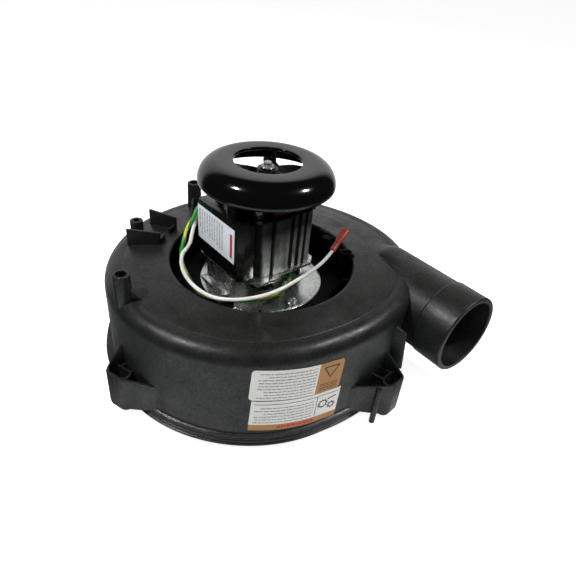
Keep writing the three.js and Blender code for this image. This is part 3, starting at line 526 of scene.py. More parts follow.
# ---- leads
WIRE_RADIUS = 1.5
WHITE_ROUTE = [
    (-26.6, -33.8, 131), (-31.2, -36.2, 130.6), (-33.9, -42, 129.3), (-30.7, -47, 123.6),
    (-26.6, -52, 117.2), (-21.5, -56.5, 114), (-18.9, -61, 111.2), (-17.8, -65, 108.6),
    (-14.2, -68.6, 104.6), (-5.5, -72.2, 102.6), (3.4, -73.5, 100), (13.2, -73.1, 98.2),
    (24.7, -70.6, 97.4), (33.2, -66.3, 97), (39.9, -59.3, 97), (44.2, -52.4, 97.1),
    (47.7, -44.1, 97.4), (50.4, -32.8, 97.7), (50.7, -20.5, 97.9), (48.8, -6.9, 98),
    (45.8, 8.3, 98), (43.1, 19, 98.1), (40, 29.8, 98.4), (36.1, 40.2, 99), (31.6, 50.6, 100.2)]
GREEN_ROUTE = [
    (-26.6, -33.8, 139.4), (-31.2, -36, 139.2), (-32.9, -42.2, 135.9), (-31.2, -47.4, 129.2),
    (-32.3, -52, 121.8), (-30.6, -56.3, 115), (-27.6, -59.5, 110.9), (-25.2, -62.6, 105),
    (-19.9, -65, 100), (-10, -67.9, 97), (1.2, -69.1, 94), (13, -69.6, 92.2), (22, -66.6, 91.6),
    (31, -60.4, 91.6), (38, -52, 91.8), (43.4, -41, 91.8), (45.6, -29, 91), (43.4, -17, 87.4),
    (37, -7.5, 82.4), (29, 0.6, 78.6), (21.4, 9.4, 77)]


def smooth_route(points):
    """Centripetal Catmull-Rom curve through the points."""
    points = [Vector(p) for p in points]
    points = [2 * points[0] - points[1], *points, 2 * points[-1] - points[-2]]
    route, per_span = [], 8
    for i in range(1, len(points) - 2):
        p0, p1, p2, p3 = points[i - 1:i + 3]
        knots = [0.0]
        for a, b in ((p0, p1), (p1, p2), (p2, p3)):
            knots.append(knots[-1] + math.sqrt((b - a).length))
        for k in range(per_span):
            t = knots[1] + (knots[2] - knots[1]) * k / per_span
            a1 = p0.lerp(p1, (t - knots[0]) / (knots[1] - knots[0]))
            a2 = p1.lerp(p2, (t - knots[1]) / (knots[2] - knots[1]))
            a3 = p2.lerp(p3, (t - knots[2]) / (knots[3] - knots[2]))
            b1 = a1.lerp(a2, (t - knots[0]) / (knots[2] - knots[0]))
            b2 = a2.lerp(a3, (t - knots[1]) / (knots[3] - knots[1]))
            route.append(b1.lerp(b2, (t - knots[1]) / (knots[2] - knots[1])))
    return [*route, points[-2]]


def tube(points, radius, stripe):
    """A closed tube along points. stripe is (share of the girth, turns) of a second material."""
    bm = bmesh.new()
    rings = []
    sides = 20
    normal = Vector((1, 0, 0))
    for i, point in enumerate(points):
        ahead = (points[min(i + 1, len(points) - 1)] - points[max(i - 1, 0)]).normalized()
        normal = (normal - ahead * normal.dot(ahead)).normalized()
        across = ahead.cross(normal)
        rings.append([bm.verts.new(point + (normal * c + across * s) * radius)
                      for c, s in compass(sides)])
    share, turns = stripe
    for number, face in enumerate(skinned(bm, rings)):
        i, k = divmod(number, sides)
        face.material_index = int((k / sides + turns * i / len(rings)) % 1 < share)
    return bm


def add_lead(name, route, looks, stripe=(0, 0)):
    points = smooth_route(route)
    bm = tube(points, WIRE_RADIUS, stripe)
    bmesh.ops.scale(bm, vec=(MM, MM, MM), verts=bm.verts)
    made = mesh_object(name + "_wire", bm, looks[0], 50)
    for look in looks[1:]:
        made.data.materials.append(look.material)
    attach(made, "housing")
    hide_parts(name)
    path = [p * MM for p in points]
    length = sum((b - a).length for a, b in zip(path, path[1:]))
    return made, path, length


white_lead, white_path, white_length = add_lead(
    "white_lead", WHITE_ROUTE, [white_wire])
ground_lead, ground_path, ground_length = add_lead(
    "ground_lead", GREEN_ROUTE, [green_wire, yellow_wire], (0.3, 5.0))


# ---- scroll outline
NOSE_ANGLE = -10
NOSE_RADIUS = 116
OUTLET_RADIUS = 142
SCROLL_EASE = 1.4
SCROLL_SWEEP = 260
BLEND_FROM = 80
BLEND_TO = 104
WALL = 3
FLANGE_CENTRE = (-17, 6)
FLANGE_RADIUS = 135.5
FLANGE_MARGIN = 3
FLANGE_PROFILE = NOSE_RADIUS + 4
FLANGE_LIP = 2
AROUND = 240


def scroll_radius(degrees):
    along = (NOSE_ANGLE - degrees) % 360
    if along <= SCROLL_SWEEP:
        opened = 1 - (1 - along / SCROLL_SWEEP) ** SCROLL_EASE
        return NOSE_RADIUS + (OUTLET_RADIUS - NOSE_RADIUS) * opened
    back = (along - SCROLL_SWEEP) / (360 - SCROLL_SWEEP)
    back = back * back * (3 - 2 * back)
    return OUTLET_RADIUS + (NOSE_RADIUS - OUTLET_RADIUS) * back


def flange_radius(degrees):
    x, y = polar(1, degrees)
    along = FLANGE_CENTRE[0] * x + FLANGE_CENTRE[1] * y
    offset = FLANGE_CENTRE[0] ** 2 + FLANGE_CENTRE[1] ** 2 - along ** 2
    circle = along + math.sqrt(FLANGE_RADIUS ** 2 - offset)
    return max(circle, scroll_radius(degrees) + FLANGE_MARGIN)


def scrolled(bm, with_flange=False):
    """Moves a turned shape's points out to the scroll, and those of a flange to its own outline."""
    for vert in bm.verts:
        radius = math.hypot(vert.co.x, vert.co.y)
        if radius <= BLEND_FROM:
            continue
        degrees = math.degrees(math.atan2(vert.co.y, vert.co.x))
        wall = scroll_radius(degrees)
        share = min((radius - BLEND_FROM) / (BLEND_TO - BLEND_FROM), 1)
        wanted = radius + (wall - NOSE_RADIUS) * share
        if with_flange and radius > NOSE_RADIUS + 1:
            rim = flange_radius(degrees)
            lip_from = FLANGE_PROFILE - FLANGE_LIP
            out = min((radius - NOSE_RADIUS - 1) / (lip_from - NOSE_RADIUS - 1), 1)
            wanted = (wall + 1) * (1 - out) + (rim - FLANGE_LIP) * out + max(radius - lip_from, 0)
        vert.co.x *= wanted / radius
        vert.co.y *= wanted / radius
    return bm


# ---- housing
BASE_TOP = 8
FOOT = 8.3
SHOULDER_LOW = 77
SHOULDER = 12
CROWN = 95
WELL_RADIUS = 76.5
WELL_FLOOR = 73.2
FLOOR_HOLE = 40
PIPE_Y = 106
PIPE_Z = 61
PIPE_END = 144
PIPE_RADIUS = 34.9
PIPE_BORE = 30.4
PIPE_NECK = 27
PIPE_FULL = 48  # the outlet has its full width from here on
PIPE_FROM = 25  # where the outlet starts, inside the scroll
PIPE_CURVE = 20  # rounding between its narrow and its full part
COLLAR_FROM = 115
COLLAR_STEP = 0.9
EAR_HIGH = 34
EAR_TUBE = (22, 12.5)
EAR_SLOT = (17.5, 8)
EAR_WEBS = 5.5  # how far the two short webs stand to either side
EAR_PLATE = (9.5, 9, 4.6)  # where the two long plates stand: one side, other side, outwards
EAR_SPREAD = 16  # degrees from the ear to where the long plate meets the wall
EARS = [  # angle, radius, turn of the slot, side of the long plate
    (-89, 134.8, 20, 1), (18, 134.6, 98, -1), (163, 147.8, 253, 1)]
POSTS = [(-95.5, 119.3, 111), (178.5, 119.5, 114)]
PINS = [(10.6, 132), (170.8, 146)]
PIN_RADIUS = 2.4
PIN_LOW = -5
COVER_SCREW_ANGLES = [-150, -75, -20, 70, 140]
COVER_SCREW_INSET = 9.5
COVER_SCREW_BOSS = 4.6


def screw_at(angle):
    return polar(scroll_radius(angle) - COVER_SCREW_INSET, angle)


def ear(angle, radius, slot, side):
    x, y = polar(radius, angle)

    def placed(bm):
        return moved(bm, slot, (x, y, 0))

    depth = radius - scroll_radius(angle) + 1
    webs = []
    for shift in (-EAR_WEBS, EAR_WEBS):
        dx, dy = polar(shift, slot)
        webs.append(fin((x + dx, y + dy), angle + 180,
                        [(3, 6), (depth + 3, 6), (depth + 3, EAR_HIGH), (3, EAR_HIGH)], 2))
    gx, gy = polar(-side * EAR_PLATE[0], slot)
    webs.append(fin((x + gx, y + gy), angle + 180,
                    [(-2, 8), (depth + 4, 4), (depth + 4, EAR_HIGH + 20), (-2, EAR_HIGH)], 2))
    sx, sy = polar(side * EAR_PLATE[1], slot)
    ox, oy = polar(EAR_PLATE[2], angle)
    start = Vector((x + sx + ox, y + sy + oy))
    landing = angle + side * EAR_SPREAD
    way = Vector(polar(scroll_radius(landing) - 1.5, landing)) - start
    webs.append(fin(start, math.degrees(math.atan2(way.y, way.x)),
                    [(-3, 5), (1, 2), (way.length, FOOT + 1), (way.length, EAR_HIGH),
                     (-3, EAR_HIGH)], 2.4))
    chamfer = block((-14, -9, -9), (14, 9, 9))
    tilt = Matrix.Rotation(math.radians(side * 38), 3, "Y")
    bmesh.ops.rotate(chamfer, matrix=tilt, verts=chamfer.verts)
    bmesh.ops.translate(chamfer, vec=(-side * 15, 0, -3), verts=chamfer.verts)
    return {"tube": placed(obround(*EAR_TUBE, 0, EAR_HIGH, 0.6)), "webs": webs,
            "bore": placed(obround(*EAR_SLOT, -1, EAR_HIGH + 1)), "chamfer": placed(chamfer)}


def post(angle, radius, top):
    at = polar(radius, angle)
    outer = turned([(0, 80), (7, 80), (6.4, top, 0.7), (0, top)], ROD_SIDES)
    gusset = fin(at, angle + 140, stepped(13.6, 84, 91.3, near_high=top - 5), 2)
    return [moved(outer, at=(*at, 0)), gusset]


CRADLE_WALLS = (-154, -134)
CRADLE_BOSS = (115.5, -142.5)
CRADLE_TOP = 105
CRADLE_FLOOR = 84


def cradle():
    pieces = []
    for side, angle in zip((1, -1), CRADLE_WALLS):
        pieces.append(fin(polar(88, angle), angle, stepped(29, CRADLE_FLOOR, CRADLE_TOP), 2.2))
        pieces.append(fin(polar(89, angle), angle + side * 96, stepped(11, CRADLE_FLOOR, 98.5), 2))
    at = polar(*CRADLE_BOSS)
    pieces.append(rod(5.6, CRADLE_FLOOR, CRADLE_TOP, at, 0.6))
    pieces.append(fin(at, CRADLE_BOSS[1] + 105, stepped(17, CRADLE_FLOOR, 99), 2))
    return pieces


def well_bosses():
    pieces = [rod(5.2, WELL_FLOOR - 1, 93.5, polar(72.5, angle), 0.5) for angle in (-57, 150, 88)]
    for angle, depth in ((-37, 5), (-3, 5), (32, 7), (115, 5), (-95, 5)):
        outline = [(0, WELL_FLOOR - 1), (depth + 9, WELL_FLOOR - 1), (depth, 93), (0, 93)]
        pieces.append(fin(polar(WELL_RADIUS + 1, angle), angle + 180, outline, 2))
    return pieces


HOOKS = (60, 190)
HOOK_RADIUS = 73.5


def hook(angle, low, high, half_x, half_y, edge):
    box = block((-half_x, -half_y, low), (half_x, half_y, high), edge)
    return moved(box, angle, (*polar(HOOK_RADIUS, angle), 0))


def along_x(bm):
    """Lays a shape drawn along Z down along the outlet's axis."""
    turn = Matrix.Rotation(math.radians(90), 4, "Y")
    bmesh.ops.transform(bm, matrix=Matrix.Translation((0, PIPE_Y, PIPE_Z)) @ turn, verts=bm.verts)
    return bm


def chamber(from_height, low):
    """The outline of the scroll's air space, from the wall of the well to the outer wall."""
    inner, outer = WELL_RADIUS + WALL, NOSE_RADIUS - WALL
    return [(inner, from_height), (inner, 91.6), (103, 86, 4), (outer, 84, 9), (outer, low)]


def housing_shell():
    outer = [(NOSE_RADIUS + 2, FOOT, 0.5), (NOSE_RADIUS + 2, 10.6, 0.6), (NOSE_RADIUS, 11.6, 0.8),
             (NOSE_RADIUS, SHOULDER_LOW + SHOULDER, SHOULDER), (102.2, 89.4, 2), (101.2, 89.9, 1),
             (92, 92.6, 30), (WELL_RADIUS + 3, CROWN, 3), (WELL_RADIUS + 1.3, CROWN, 0.9)]
    well = [(WELL_RADIUS, CROWN - 1.6, 1.2), (WELL_RADIUS, WELL_FLOOR, 1),
            (FLOOR_HOLE, WELL_FLOOR, 0.5), (FLOOR_HOLE, WELL_FLOOR - WALL, 0.5)]
    return scrolled(turned([*outer, *well, *chamber(WELL_FLOOR - WALL, FOOT)], AROUND, 10))


def chamber_plug():
    """The air space of the scroll, which trims what reaches in through its wall."""
    return scrolled(turned(chamber(FOOT - 1, FOOT - 1), AROUND, 10))


def outlet_pipe():
    neck = PIPE_RADIUS - COLLAR_STEP
    outer = [(0, PIPE_FROM), (PIPE_NECK, PIPE_FROM), (neck, PIPE_FULL, PIPE_CURVE),
             (neck, COLLAR_FROM, 0.4), (PIPE_RADIUS, COLLAR_FROM + 1.2, 0.6),
             (PIPE_RADIUS, PIPE_END, 1.3), (0, PIPE_END)]
    return along_x(turned(outer, 128, 6))


def outlet_bore():
    bore = [(0, PIPE_FROM - 5), (PIPE_NECK - 4, PIPE_FROM - 5), (PIPE_BORE, PIPE_FULL, PIPE_CURVE),
            (PIPE_BORE, PIPE_END - 0.7, 0.6), (PIPE_BORE + 1.4, PIPE_END + 1), (0, PIPE_END + 1)]
    return along_x(turned(bore, 128, 6))


def add_housing():
    ears = [ear(*one) for one in EARS]
    flange_room = scrolled(annulus(60, FLANGE_PROFILE + 0.3, -20, FOOT, AROUND), True)
    webs = merged("webs", [bm for one in ears for bm in one["webs"]], [flange_room])
    outside = [housing_shell(), webs, outlet_pipe(), *[one["tube"] for one in ears]]
    for one in POSTS:
        outside += post(*one)
    outside += cradle()
    outside.append(fin(polar(scroll_radius(26) - 1, 26), 30,
                       [(0, 30), (13, 30), (10, 66), (0, 72)], 3))
    inside = well_bosses()
    inside += [hook(angle, WELL_FLOOR - 1, CROWN + 3.5, 6, 4.5, 0.5) for angle in HOOKS]
    inside += [rod(COVER_SCREW_BOSS, FOOT, 40, screw_at(angle)) for angle in COVER_SCREW_ANGLES]
    cuts = [chamber_plug(), outlet_bore(), *[one["chamfer"] for one in ears]]
    shell = merged("shell", outside, cuts)
    holes = [one["bore"] for one in ears]
    holes += [hook(angle, 84, CROWN + 5, 4.2, 2.6, 0) for angle in HOOKS]
    holes += [rod(4.2, 96, top + 1, polar(radius, angle)) for angle, radius, top in POSTS]
    holes.append(rod(2.8, 94, CRADLE_TOP + 1, polar(*CRADLE_BOSS)))
    pins = [rod(PIN_RADIUS, PIN_LOW, EAR_HIGH - 1, polar(radius, angle), 0.5)
            for angle, radius in PINS]
    body = merged("upper_housing_shell", [shell, *inside], holes)
    body = merged("upper_housing_shell", [body, *pins])
    piece("upper_housing_shell", body, housing_black, "upper_housing")


add_housing()


# ---- base cover
INLET_RADIUS = 40


def add_base_cover():
    rim = FLANGE_PROFILE
    groove = (NOSE_RADIUS - WALL - 0.5, NOSE_RADIUS + 0.5)
    profile = [(INLET_RADIUS + 14, 0), (rim - 0.7, 0, 0.5), (rim, 0.9, 0.4), (rim, 2.3, 0.4),
               (rim - 1.2, 2.9, 0.3), (rim - 1.2, 3.5, 0.3), (rim - 0.6, 3.9, 0.4),
               (rim - 0.6, 5.3, 0.4), (rim - 1.5, 5.8, 0.3), (rim - 1.5, 6.6, 0.3),
               (rim - 1.1, 7.0, 0.2), (rim - 1.2, BASE_TOP, 0.3), (groove[1], BASE_TOP, 0.2),
               (groove[1], 5), (groove[0], 5), (groove[0], BASE_TOP, 0.2),
               (groove[0] - 1.7, BASE_TOP, 0.2), (groove[0] - 1.7, 3.6, 1),
               (INLET_RADIUS + 14, 3.6)]
    plate = scrolled(turned(profile, AROUND, 3), True)
    inlet_profile = [(14.5, 0), (14.5, 3.6), (9, 3.6, 2), (3, 7, 4), (1.5, 15, 0.5), (-1, 15, 0.5),
                     (0, 6, 8), (2.4, 2.3, 1), (14, 2.3), (14, 0)]
    inlet = turned([(INLET_RADIUS + out, *rest) for out, *rest in inlet_profile], 128, 5)
    ribs = [fin(polar(INLET_RADIUS + 16, angle), angle, [(0, 3), (50, 3), (50, 6), (0, 8)], 2)
            for angle in range(22, 382, 45)]
    cuts = []
    for angle, radius, slot, _ in EARS:
        room = obround(*[size + 2 for size in EAR_TUBE], -1, 12)
        cuts.append(moved(room, slot, (*polar(radius, angle), 0)))
    for angle, radius in PINS:
        cuts.append(rod(PIN_RADIUS + 0.6, PIN_LOW - 1, 12, polar(radius, angle)))
    for angle in COVER_SCREW_ANGLES:
        cuts += [rod(2, -1, 9, screw_at(angle)), rod(COVER_SCREW_BOSS, -1, 2, screw_at(angle))]
    piece("base_cover_shell", merged("cover", [plate, inlet, *ribs], cuts), cover_black,
          "base_cover")


def add_gasket():
    profile = [(INLET_RADIUS + 5, 0.1, 0.5), (INLET_RADIUS + 13.5, 0.1, 0.5),
               (INLET_RADIUS + 13.5, 2, 0.3), (INLET_RADIUS + 5, 2, 0.3)]
    piece("inlet_gasket_ring", turned(profile, 128), rubber, "inlet_gasket")


def add_cover_screw(number, angle):
    head = turned([(0, 0.1), (3.3, 0.1, 0.8), (3.8, 1.7, 0.2), (1.6, 1.7), (1.6, 23), (0.4, 24),
                   (0, 24)], 32)
    cross = [block((-x, -y, -1), (x, y, 1.1)) for x, y in ((2.2, 0.45), (0.45, 2.2))]
    bm = moved(merged("screw", [head], cross), 31 * number, (*screw_at(angle), 0))
    piece(f"cover_screw_{number}_head", bm, steel, f"cover_screw_{number}")


# ---- motor
GAP = 0.3
DISC_TOP = 74.7
DISC_RADIUS = 52.3
DISC_SCREW_ANGLES = (-2, 105, 185)
DISC_SCREW_RADIUS = 44.5
GROUND_AT = (15, 17)
STACK_LOW = 98.5
STACK_HIGH = 145.5
COVER_FACE = -44.3
BOLT_AT = 25.5
CORNERS = ((1, -1), (1, 1), (-1, 1), (-1, -1))
SHAFT_RADIUS = 3.2
SHAFT_LOW = 24
SHAFT_HIGH = 178.7


def from_frame(node):
    """A CAD node's own solid in millimetres, with its flat faces whole again."""
    bm = bmesh.new()
    bm.from_mesh(nodes_of_frame[node].data)
    bmesh.ops.scale(bm, vec=(1 / MM,) * 3, verts=bm.verts)
    bmesh.ops.remove_doubles(bm, verts=bm.verts, dist=2e-4)
    bmesh.ops.dissolve_limit(bm, angle_limit=0.01, verts=bm.verts, edges=bm.edges)
    return bm


def eased(node, look, width):
    """The CAD node's solid with its edges rounded."""
    piece(node + "_eased", soften(from_frame(node), width), look, node)


def add_disc():
    top, low, sunk = DISC_TOP, DISC_TOP - 1.2, DISC_TOP - 0.35
    profile = [(11, low, 0.2), (DISC_RADIUS, low, 0.3), (DISC_RADIUS, top, 0.5),
               (DISC_RADIUS - 3.2, top, 0.3), (DISC_RADIUS - 3.8, sunk, 0.3),
               (24, sunk, 0.3), (23, top, 0.3), (11, top, 0.3)]
    cuts = [rod(2, top - 3, top + 1, polar(DISC_SCREW_RADIUS, angle))
            for angle in DISC_SCREW_ANGLES]
    cuts.append(rod(1.8, top - 3, top + 1, GROUND_AT))
    disc = merged("disc", [turned(profile, 144, 3)], cuts)
    piece("mounting_disc_plate", disc, zinc, "mounting_disc")


def add_disc_screw(number, angle):
    low = DISC_TOP + GAP
    washer = turned([(0, low), (5, low, 0.2), (5, low + 0.9, 0.5), (0, low + 1.2)], 40)
    hexagon = prism([polar(3.4, 60 * k) for k in range(6)], low + 0.8, low + 3.1, 0.35)
    shank = rod(1.6, DISC_TOP - 7.4, low + 0.4)
    slot = block((-4, -0.5, low + 2.1), (4, 0.5, low + 4))
    bm = merged("screw", [washer, hexagon, shank], [slot])
    moved(bm, 17 * number, (*polar(DISC_SCREW_RADIUS, angle), 0))
    piece(f"disc_screw_{number}_head", bm, steel, f"disc_screw_{number}")


SHROUD_RADIUS = 53.5
SHROUD_HOLE = 26.5
SHROUD_TOP = 180.2
SHROUD_SIDE = 164.2
SHROUD_LOW = 162
SHROUD_ROUND = 16
LEG_LOW = STACK_HIGH + 6.7


def add_shroud():
    across, steps = SHROUD_RADIUS - SHROUD_ROUND, 22
    outer, inner = [], []
    for k in range(steps + 1):
        turn = math.pi / 2 * k / steps
        for arc, size in ((outer, SHROUD_ROUND), (inner, SHROUD_ROUND - 2.4)):
            arc.append((across + size * math.sin(turn), SHROUD_SIDE + size * math.cos(turn)))
    lip = rounded([(SHROUD_RADIUS, SHROUD_SIDE), (SHROUD_RADIUS - 0.3, SHROUD_LOW + 1.1, 0.5),
                   (SHROUD_RADIUS - 1.3, SHROUD_LOW, 0.4),
                   (SHROUD_RADIUS - 2.6, SHROUD_LOW + 0.3, 0.4),
                   (SHROUD_RADIUS - 2.4, SHROUD_SIDE)], loop=False)[1:-1]
    hole = rounded([(across, SHROUD_TOP - 3), (SHROUD_HOLE, SHROUD_TOP - 2.6, 0.7),
                    (SHROUD_HOLE, SHROUD_TOP, 0.9), (across, SHROUD_TOP - 0.6)], loop=False)[1:-1]
    shell = lathe([*outer, *lip, *inner[::-1], *hole], 192)
    legs = []
    places = [(i * BOLT_AT, j * BOLT_AT) for i, j in CORNERS]
    for at in places:
        legs += [rod(4.4, LEG_LOW, SHROUD_LOW, at, 0.5),
                 rod(2.1, SHROUD_LOW - 1, SHROUD_TOP - 2.4, at)]
    bores = [rod(2.2, LEG_LOW - 1, LEG_LOW + 4, at) for at in places]
    piece("fan_shroud_shell", merged("shroud", [shell, *legs], bores), gloss_black,
          "fan_shroud", smooth=40)


FAN_LOW = 163.2
FAN_RADIUS = 29
FAN_BLADES = 5
FAN_TURN = 64


def fan_blade(turn):
    bm = bmesh.new()
    rings = []
    for k in range(9):
        share = k / 8
        radius = 6 + (FAN_RADIUS - 6) * share
        pitch = math.radians(52 - 20 * share)
        chord = 5.6 + 2.2 * math.sin(math.pi * min(share * 1.1, 1) * 0.8)
        ring = []
        for along, out in ((-1, -0.35), (0, -0.75), (1, -0.35), (1, 0.35), (0, 0.75), (-1, 0.35)):
            y, z = along * chord, out + 0.9 * (1 - along * along)
            ring.append(bm.verts.new((radius, y * math.cos(pitch) - z * math.sin(pitch),
                                      y * math.sin(pitch) + z * math.cos(pitch))))
        rings.append(ring)
    skinned(bm, rings)
    return moved(closed(bm), turn, (0, 0, FAN_LOW + 5.5))


def add_fan():
    bore = SHAFT_RADIUS + GAP
    hub = turned([(bore, FAN_LOW), (13, FAN_LOW, 0.4), (13, FAN_LOW + 1.6, 0.4),
                  (8, FAN_LOW + 1.6, 0.8), (8, FAN_LOW + 11, 0.7), (bore, FAN_LOW + 11)], 64)
    keep = annulus(bore, FAN_RADIUS, FAN_LOW, FAN_LOW + 10.6)
    around = annulus(bore, 80, FAN_LOW - 20, FAN_LOW + 40)
    outside = merged("outside", [around], [keep])
    blades = [fan_blade(360 / FAN_BLADES * k + FAN_TURN) for k in range(FAN_BLADES)]
    piece("cooling_fan_wheel", merged("fan", [hub, *blades], [outside]), fan_black,
          "cooling_fan", "rotor")


def add_shaft_parts():
    low, bore = FAN_LOW + 11 + GAP, SHAFT_RADIUS + 0.1
    nut = turned([(bore, low), (6, low, 0.2), (6, low + 0.6, 0.3), (4.6, low + 1.8, 0.6),
                  (bore, low + 2.2)], 48)
    tabs = [moved(block((4.4, -0.5, low - 1), (7, 0.5, low + 3)), 60 * k) for k in range(6)]
    piece("push_nut_cap", merged("nut", [nut], tabs), steel, "push_nut", "rotor")
    shaft = turned([(0, SHAFT_LOW), (SHAFT_RADIUS, SHAFT_LOW, 0.6), (SHAFT_RADIUS, SHAFT_HIGH, 0.7),
                    (0, SHAFT_HIGH)], 48)
    dimple = lathe([(0, SHAFT_HIGH - 1.2), (1.1, SHAFT_HIGH + 0.2), (0, SHAFT_HIGH + 0.2)], 24)
    piece("motor_shaft_rod", merged("shaft", [shaft], [dimple]), turned_steel,
          "motor_shaft", "rotor")


WHEEL_RADIUS = 82
WHEEL_EYE = 56
WHEEL_LOW = 22
WHEEL_HIGH = 56
WHEEL_BLADES = 20


def wheel_blade(turn):
    outline = []
    c, s = polar(1, turn)
    for side in (0.6, -0.6):
        for k in range(9):
            share = k / 8 if side > 0 else 1 - k / 8
            radius = WHEEL_EYE + 0.5 + (WHEEL_RADIUS - WHEEL_EYE - 1.1) * share
            x, y = polar(radius, turn - 16 * share ** 1.5)
            outline.append((x - side * s, y + side * c))
    return prism(outline, WHEEL_LOW + 0.5, WHEEL_HIGH - 0.5)


def add_wheel():
    hub = turned([(SHAFT_RADIUS + GAP, 30), (9, 30, 0.6), (12, WHEEL_HIGH - 4, 2),
                  (WHEEL_RADIUS, WHEEL_HIGH - 1.5, 0.3), (WHEEL_RADIUS, WHEEL_HIGH, 0.4),
                  (SHAFT_RADIUS + GAP, WHEEL_HIGH)], 128)
    front = turned([(WHEEL_EYE, WHEEL_LOW, 0.5), (WHEEL_RADIUS, WHEEL_LOW, 0.4),
                    (WHEEL_RADIUS, WHEEL_LOW + 1.5, 0.3), (WHEEL_EYE, WHEEL_LOW + 1.5, 0.4)], 128)
    blades = [wheel_blade(360 / WHEEL_BLADES * k) for k in range(WHEEL_BLADES)]
    piece("blower_wheel_rotor", merged("wheel", [hub, front, *blades]), wheel_black,
          "blower_wheel", "rotor")


# ---- printed films
LABEL_WIDTH = 71
LABEL_MIDDLE = 45
LABEL_GAP = 0.05
STEP = 1.5  # the films are bent round the wall in steps of about this length
PAPER = (0.0, 0.4)  # where the film starts and ends above its face
INK = (0.3, 0.5)  # where the print does


def wall_at(facing, tilt_degrees):
    """Gives a function for points on the curved wall: along a label, up it, out from the wall."""
    tilt = math.radians(tilt_degrees)

    def place(along, up, out):
        y = along * math.cos(tilt) + (up - LABEL_MIDDLE) * math.sin(tilt)
        z = LABEL_MIDDLE - along * math.sin(tilt) + (up - LABEL_MIDDLE) * math.cos(tilt)
        x = NOSE_RADIUS
        for _ in range(6):
            wall = scroll_radius(facing + math.degrees(math.atan2(y, x)))
            x = math.sqrt((wall + LABEL_GAP + out) ** 2 - y * y)
        turned = Matrix.Rotation(math.radians(facing), 2) @ Vector((x, y))
        return turned.x, turned.y, z
    return place


def on_cover(along, up, out):
    """A point on the flat face of the lead cover."""
    return along, COVER_FACE - out, up


def slab(bm, rows, index):
    """Joins rows of four points into a thin closed solid of one material."""
    faces = [bm.faces.new(rows[0]), bm.faces.new(rows[-1][::-1])]
    for a, b in zip(rows, rows[1:]):
        for i in range(4):
            j = (i + 1) % 4
            faces.append(bm.faces.new((a[j], a[i], b[i], b[j])))
    for face in faces:
        face.material_index = index


def panel(bm, place, start, end, low, high, depth, index, corner=0.0, corners="start"):
    """A flat field, laid on a face by place, with two rounded corners at its start or its end."""
    steps = max(2, int(abs(end - start) / STEP))
    marks = [start + (end - start) * k / steps for k in range(steps + 1)]
    if corner:
        arc = [corner * (1 - math.cos(math.pi / 2 * k / 6)) for k in range(1, 6)]
        marks += [start + along for along in arc] + [end - along for along in arc]
    rows = []
    for along in sorted(set(marks)):
        near = along - start if corners == "start" else end - along
        drop = 0.0
        if corner and near < corner:
            drop = corner - math.sqrt(max(corner ** 2 - (corner - near) ** 2, 0))
        section = ((low + drop, depth[1]), (high - drop, depth[1]),
                   (high - drop, depth[0]), (low + drop, depth[0]))
        rows.append([bm.verts.new(place(along, up, out)) for up, out in section])
    slab(bm, rows, index)


def print_line(bm, place, start, end, middle, height, index, draw, upright=False):
    """A row of dashes of uneven length, as a line of print looks from afar."""
    at = start
    while at < end - 0.6:
        to = min(at + draw.uniform(1.1, 4.2), end)
        if upright:
            panel(bm, place, middle - height / 2, middle + height / 2, at, to, INK, index)
        else:
            panel(bm, place, at, to, middle - height / 2, middle + height / 2, INK, index)
        at = to + draw.uniform(0.45, 0.8)


def ring_mark(bm, place, centre, radius, width, index):
    """A plain printed ring."""
    hollow = radius - width
    section = ((radius, INK[1]), (hollow, INK[1]), (hollow, INK[0]), (radius, INK[0]))
    rows = [[bm.verts.new(place(centre[0] + size * c, centre[1] + size * s, out))
             for size, out in section] for c, s in compass(28)]
    for a, b in zip(rows, rows[1:] + rows[:1]):
        for i in range(4):
            j = (i + 1) % 4
            bm.faces.new((a[i], a[j], b[j], b[i])).material_index = index


def wheel_mark(bm, place, centre, radius, width, teeth, index):
    """A plain printed toothed wheel."""
    ring_mark(bm, place, centre, radius, width, index)
    root, tip = radius + 0.05, radius + 1
    for c, s in compass(teeth):
        stroke(bm, place, (centre[0] + root * c, centre[1] + root * s),
               (centre[0] + tip * c, centre[1] + tip * s), 0.8, index)


def stroke(bm, place, start, end, width, index):
    """A plain straight printed stroke between two points (along, up)."""
    start, end = Vector(start), Vector(end)
    way = (end - start).normalized()
    side = Vector((-way.y, way.x)) * width / 2
    steps = max(1, round((end - start).length / STEP))
    rows = []
    for k in range(steps + 1):
        at = start.lerp(end, k / steps)
        left, right = at - side, at + side
        corners = ((left, INK[1]), (right, INK[1]), (right, INK[0]), (left, INK[0]))
        rows.append([bm.verts.new(place(p.x, p.y, out)) for p, out in corners])
    slab(bm, rows, index)


def film(name, bm, looks, node):
    """A label with its print, one look for each material index."""
    bmesh.ops.recalc_face_normals(bm, faces=bm.faces)
    made = piece(name, bm, looks[0], node, smooth=20)
    for look in looks[1:]:
        made.data.materials.append(look.material)


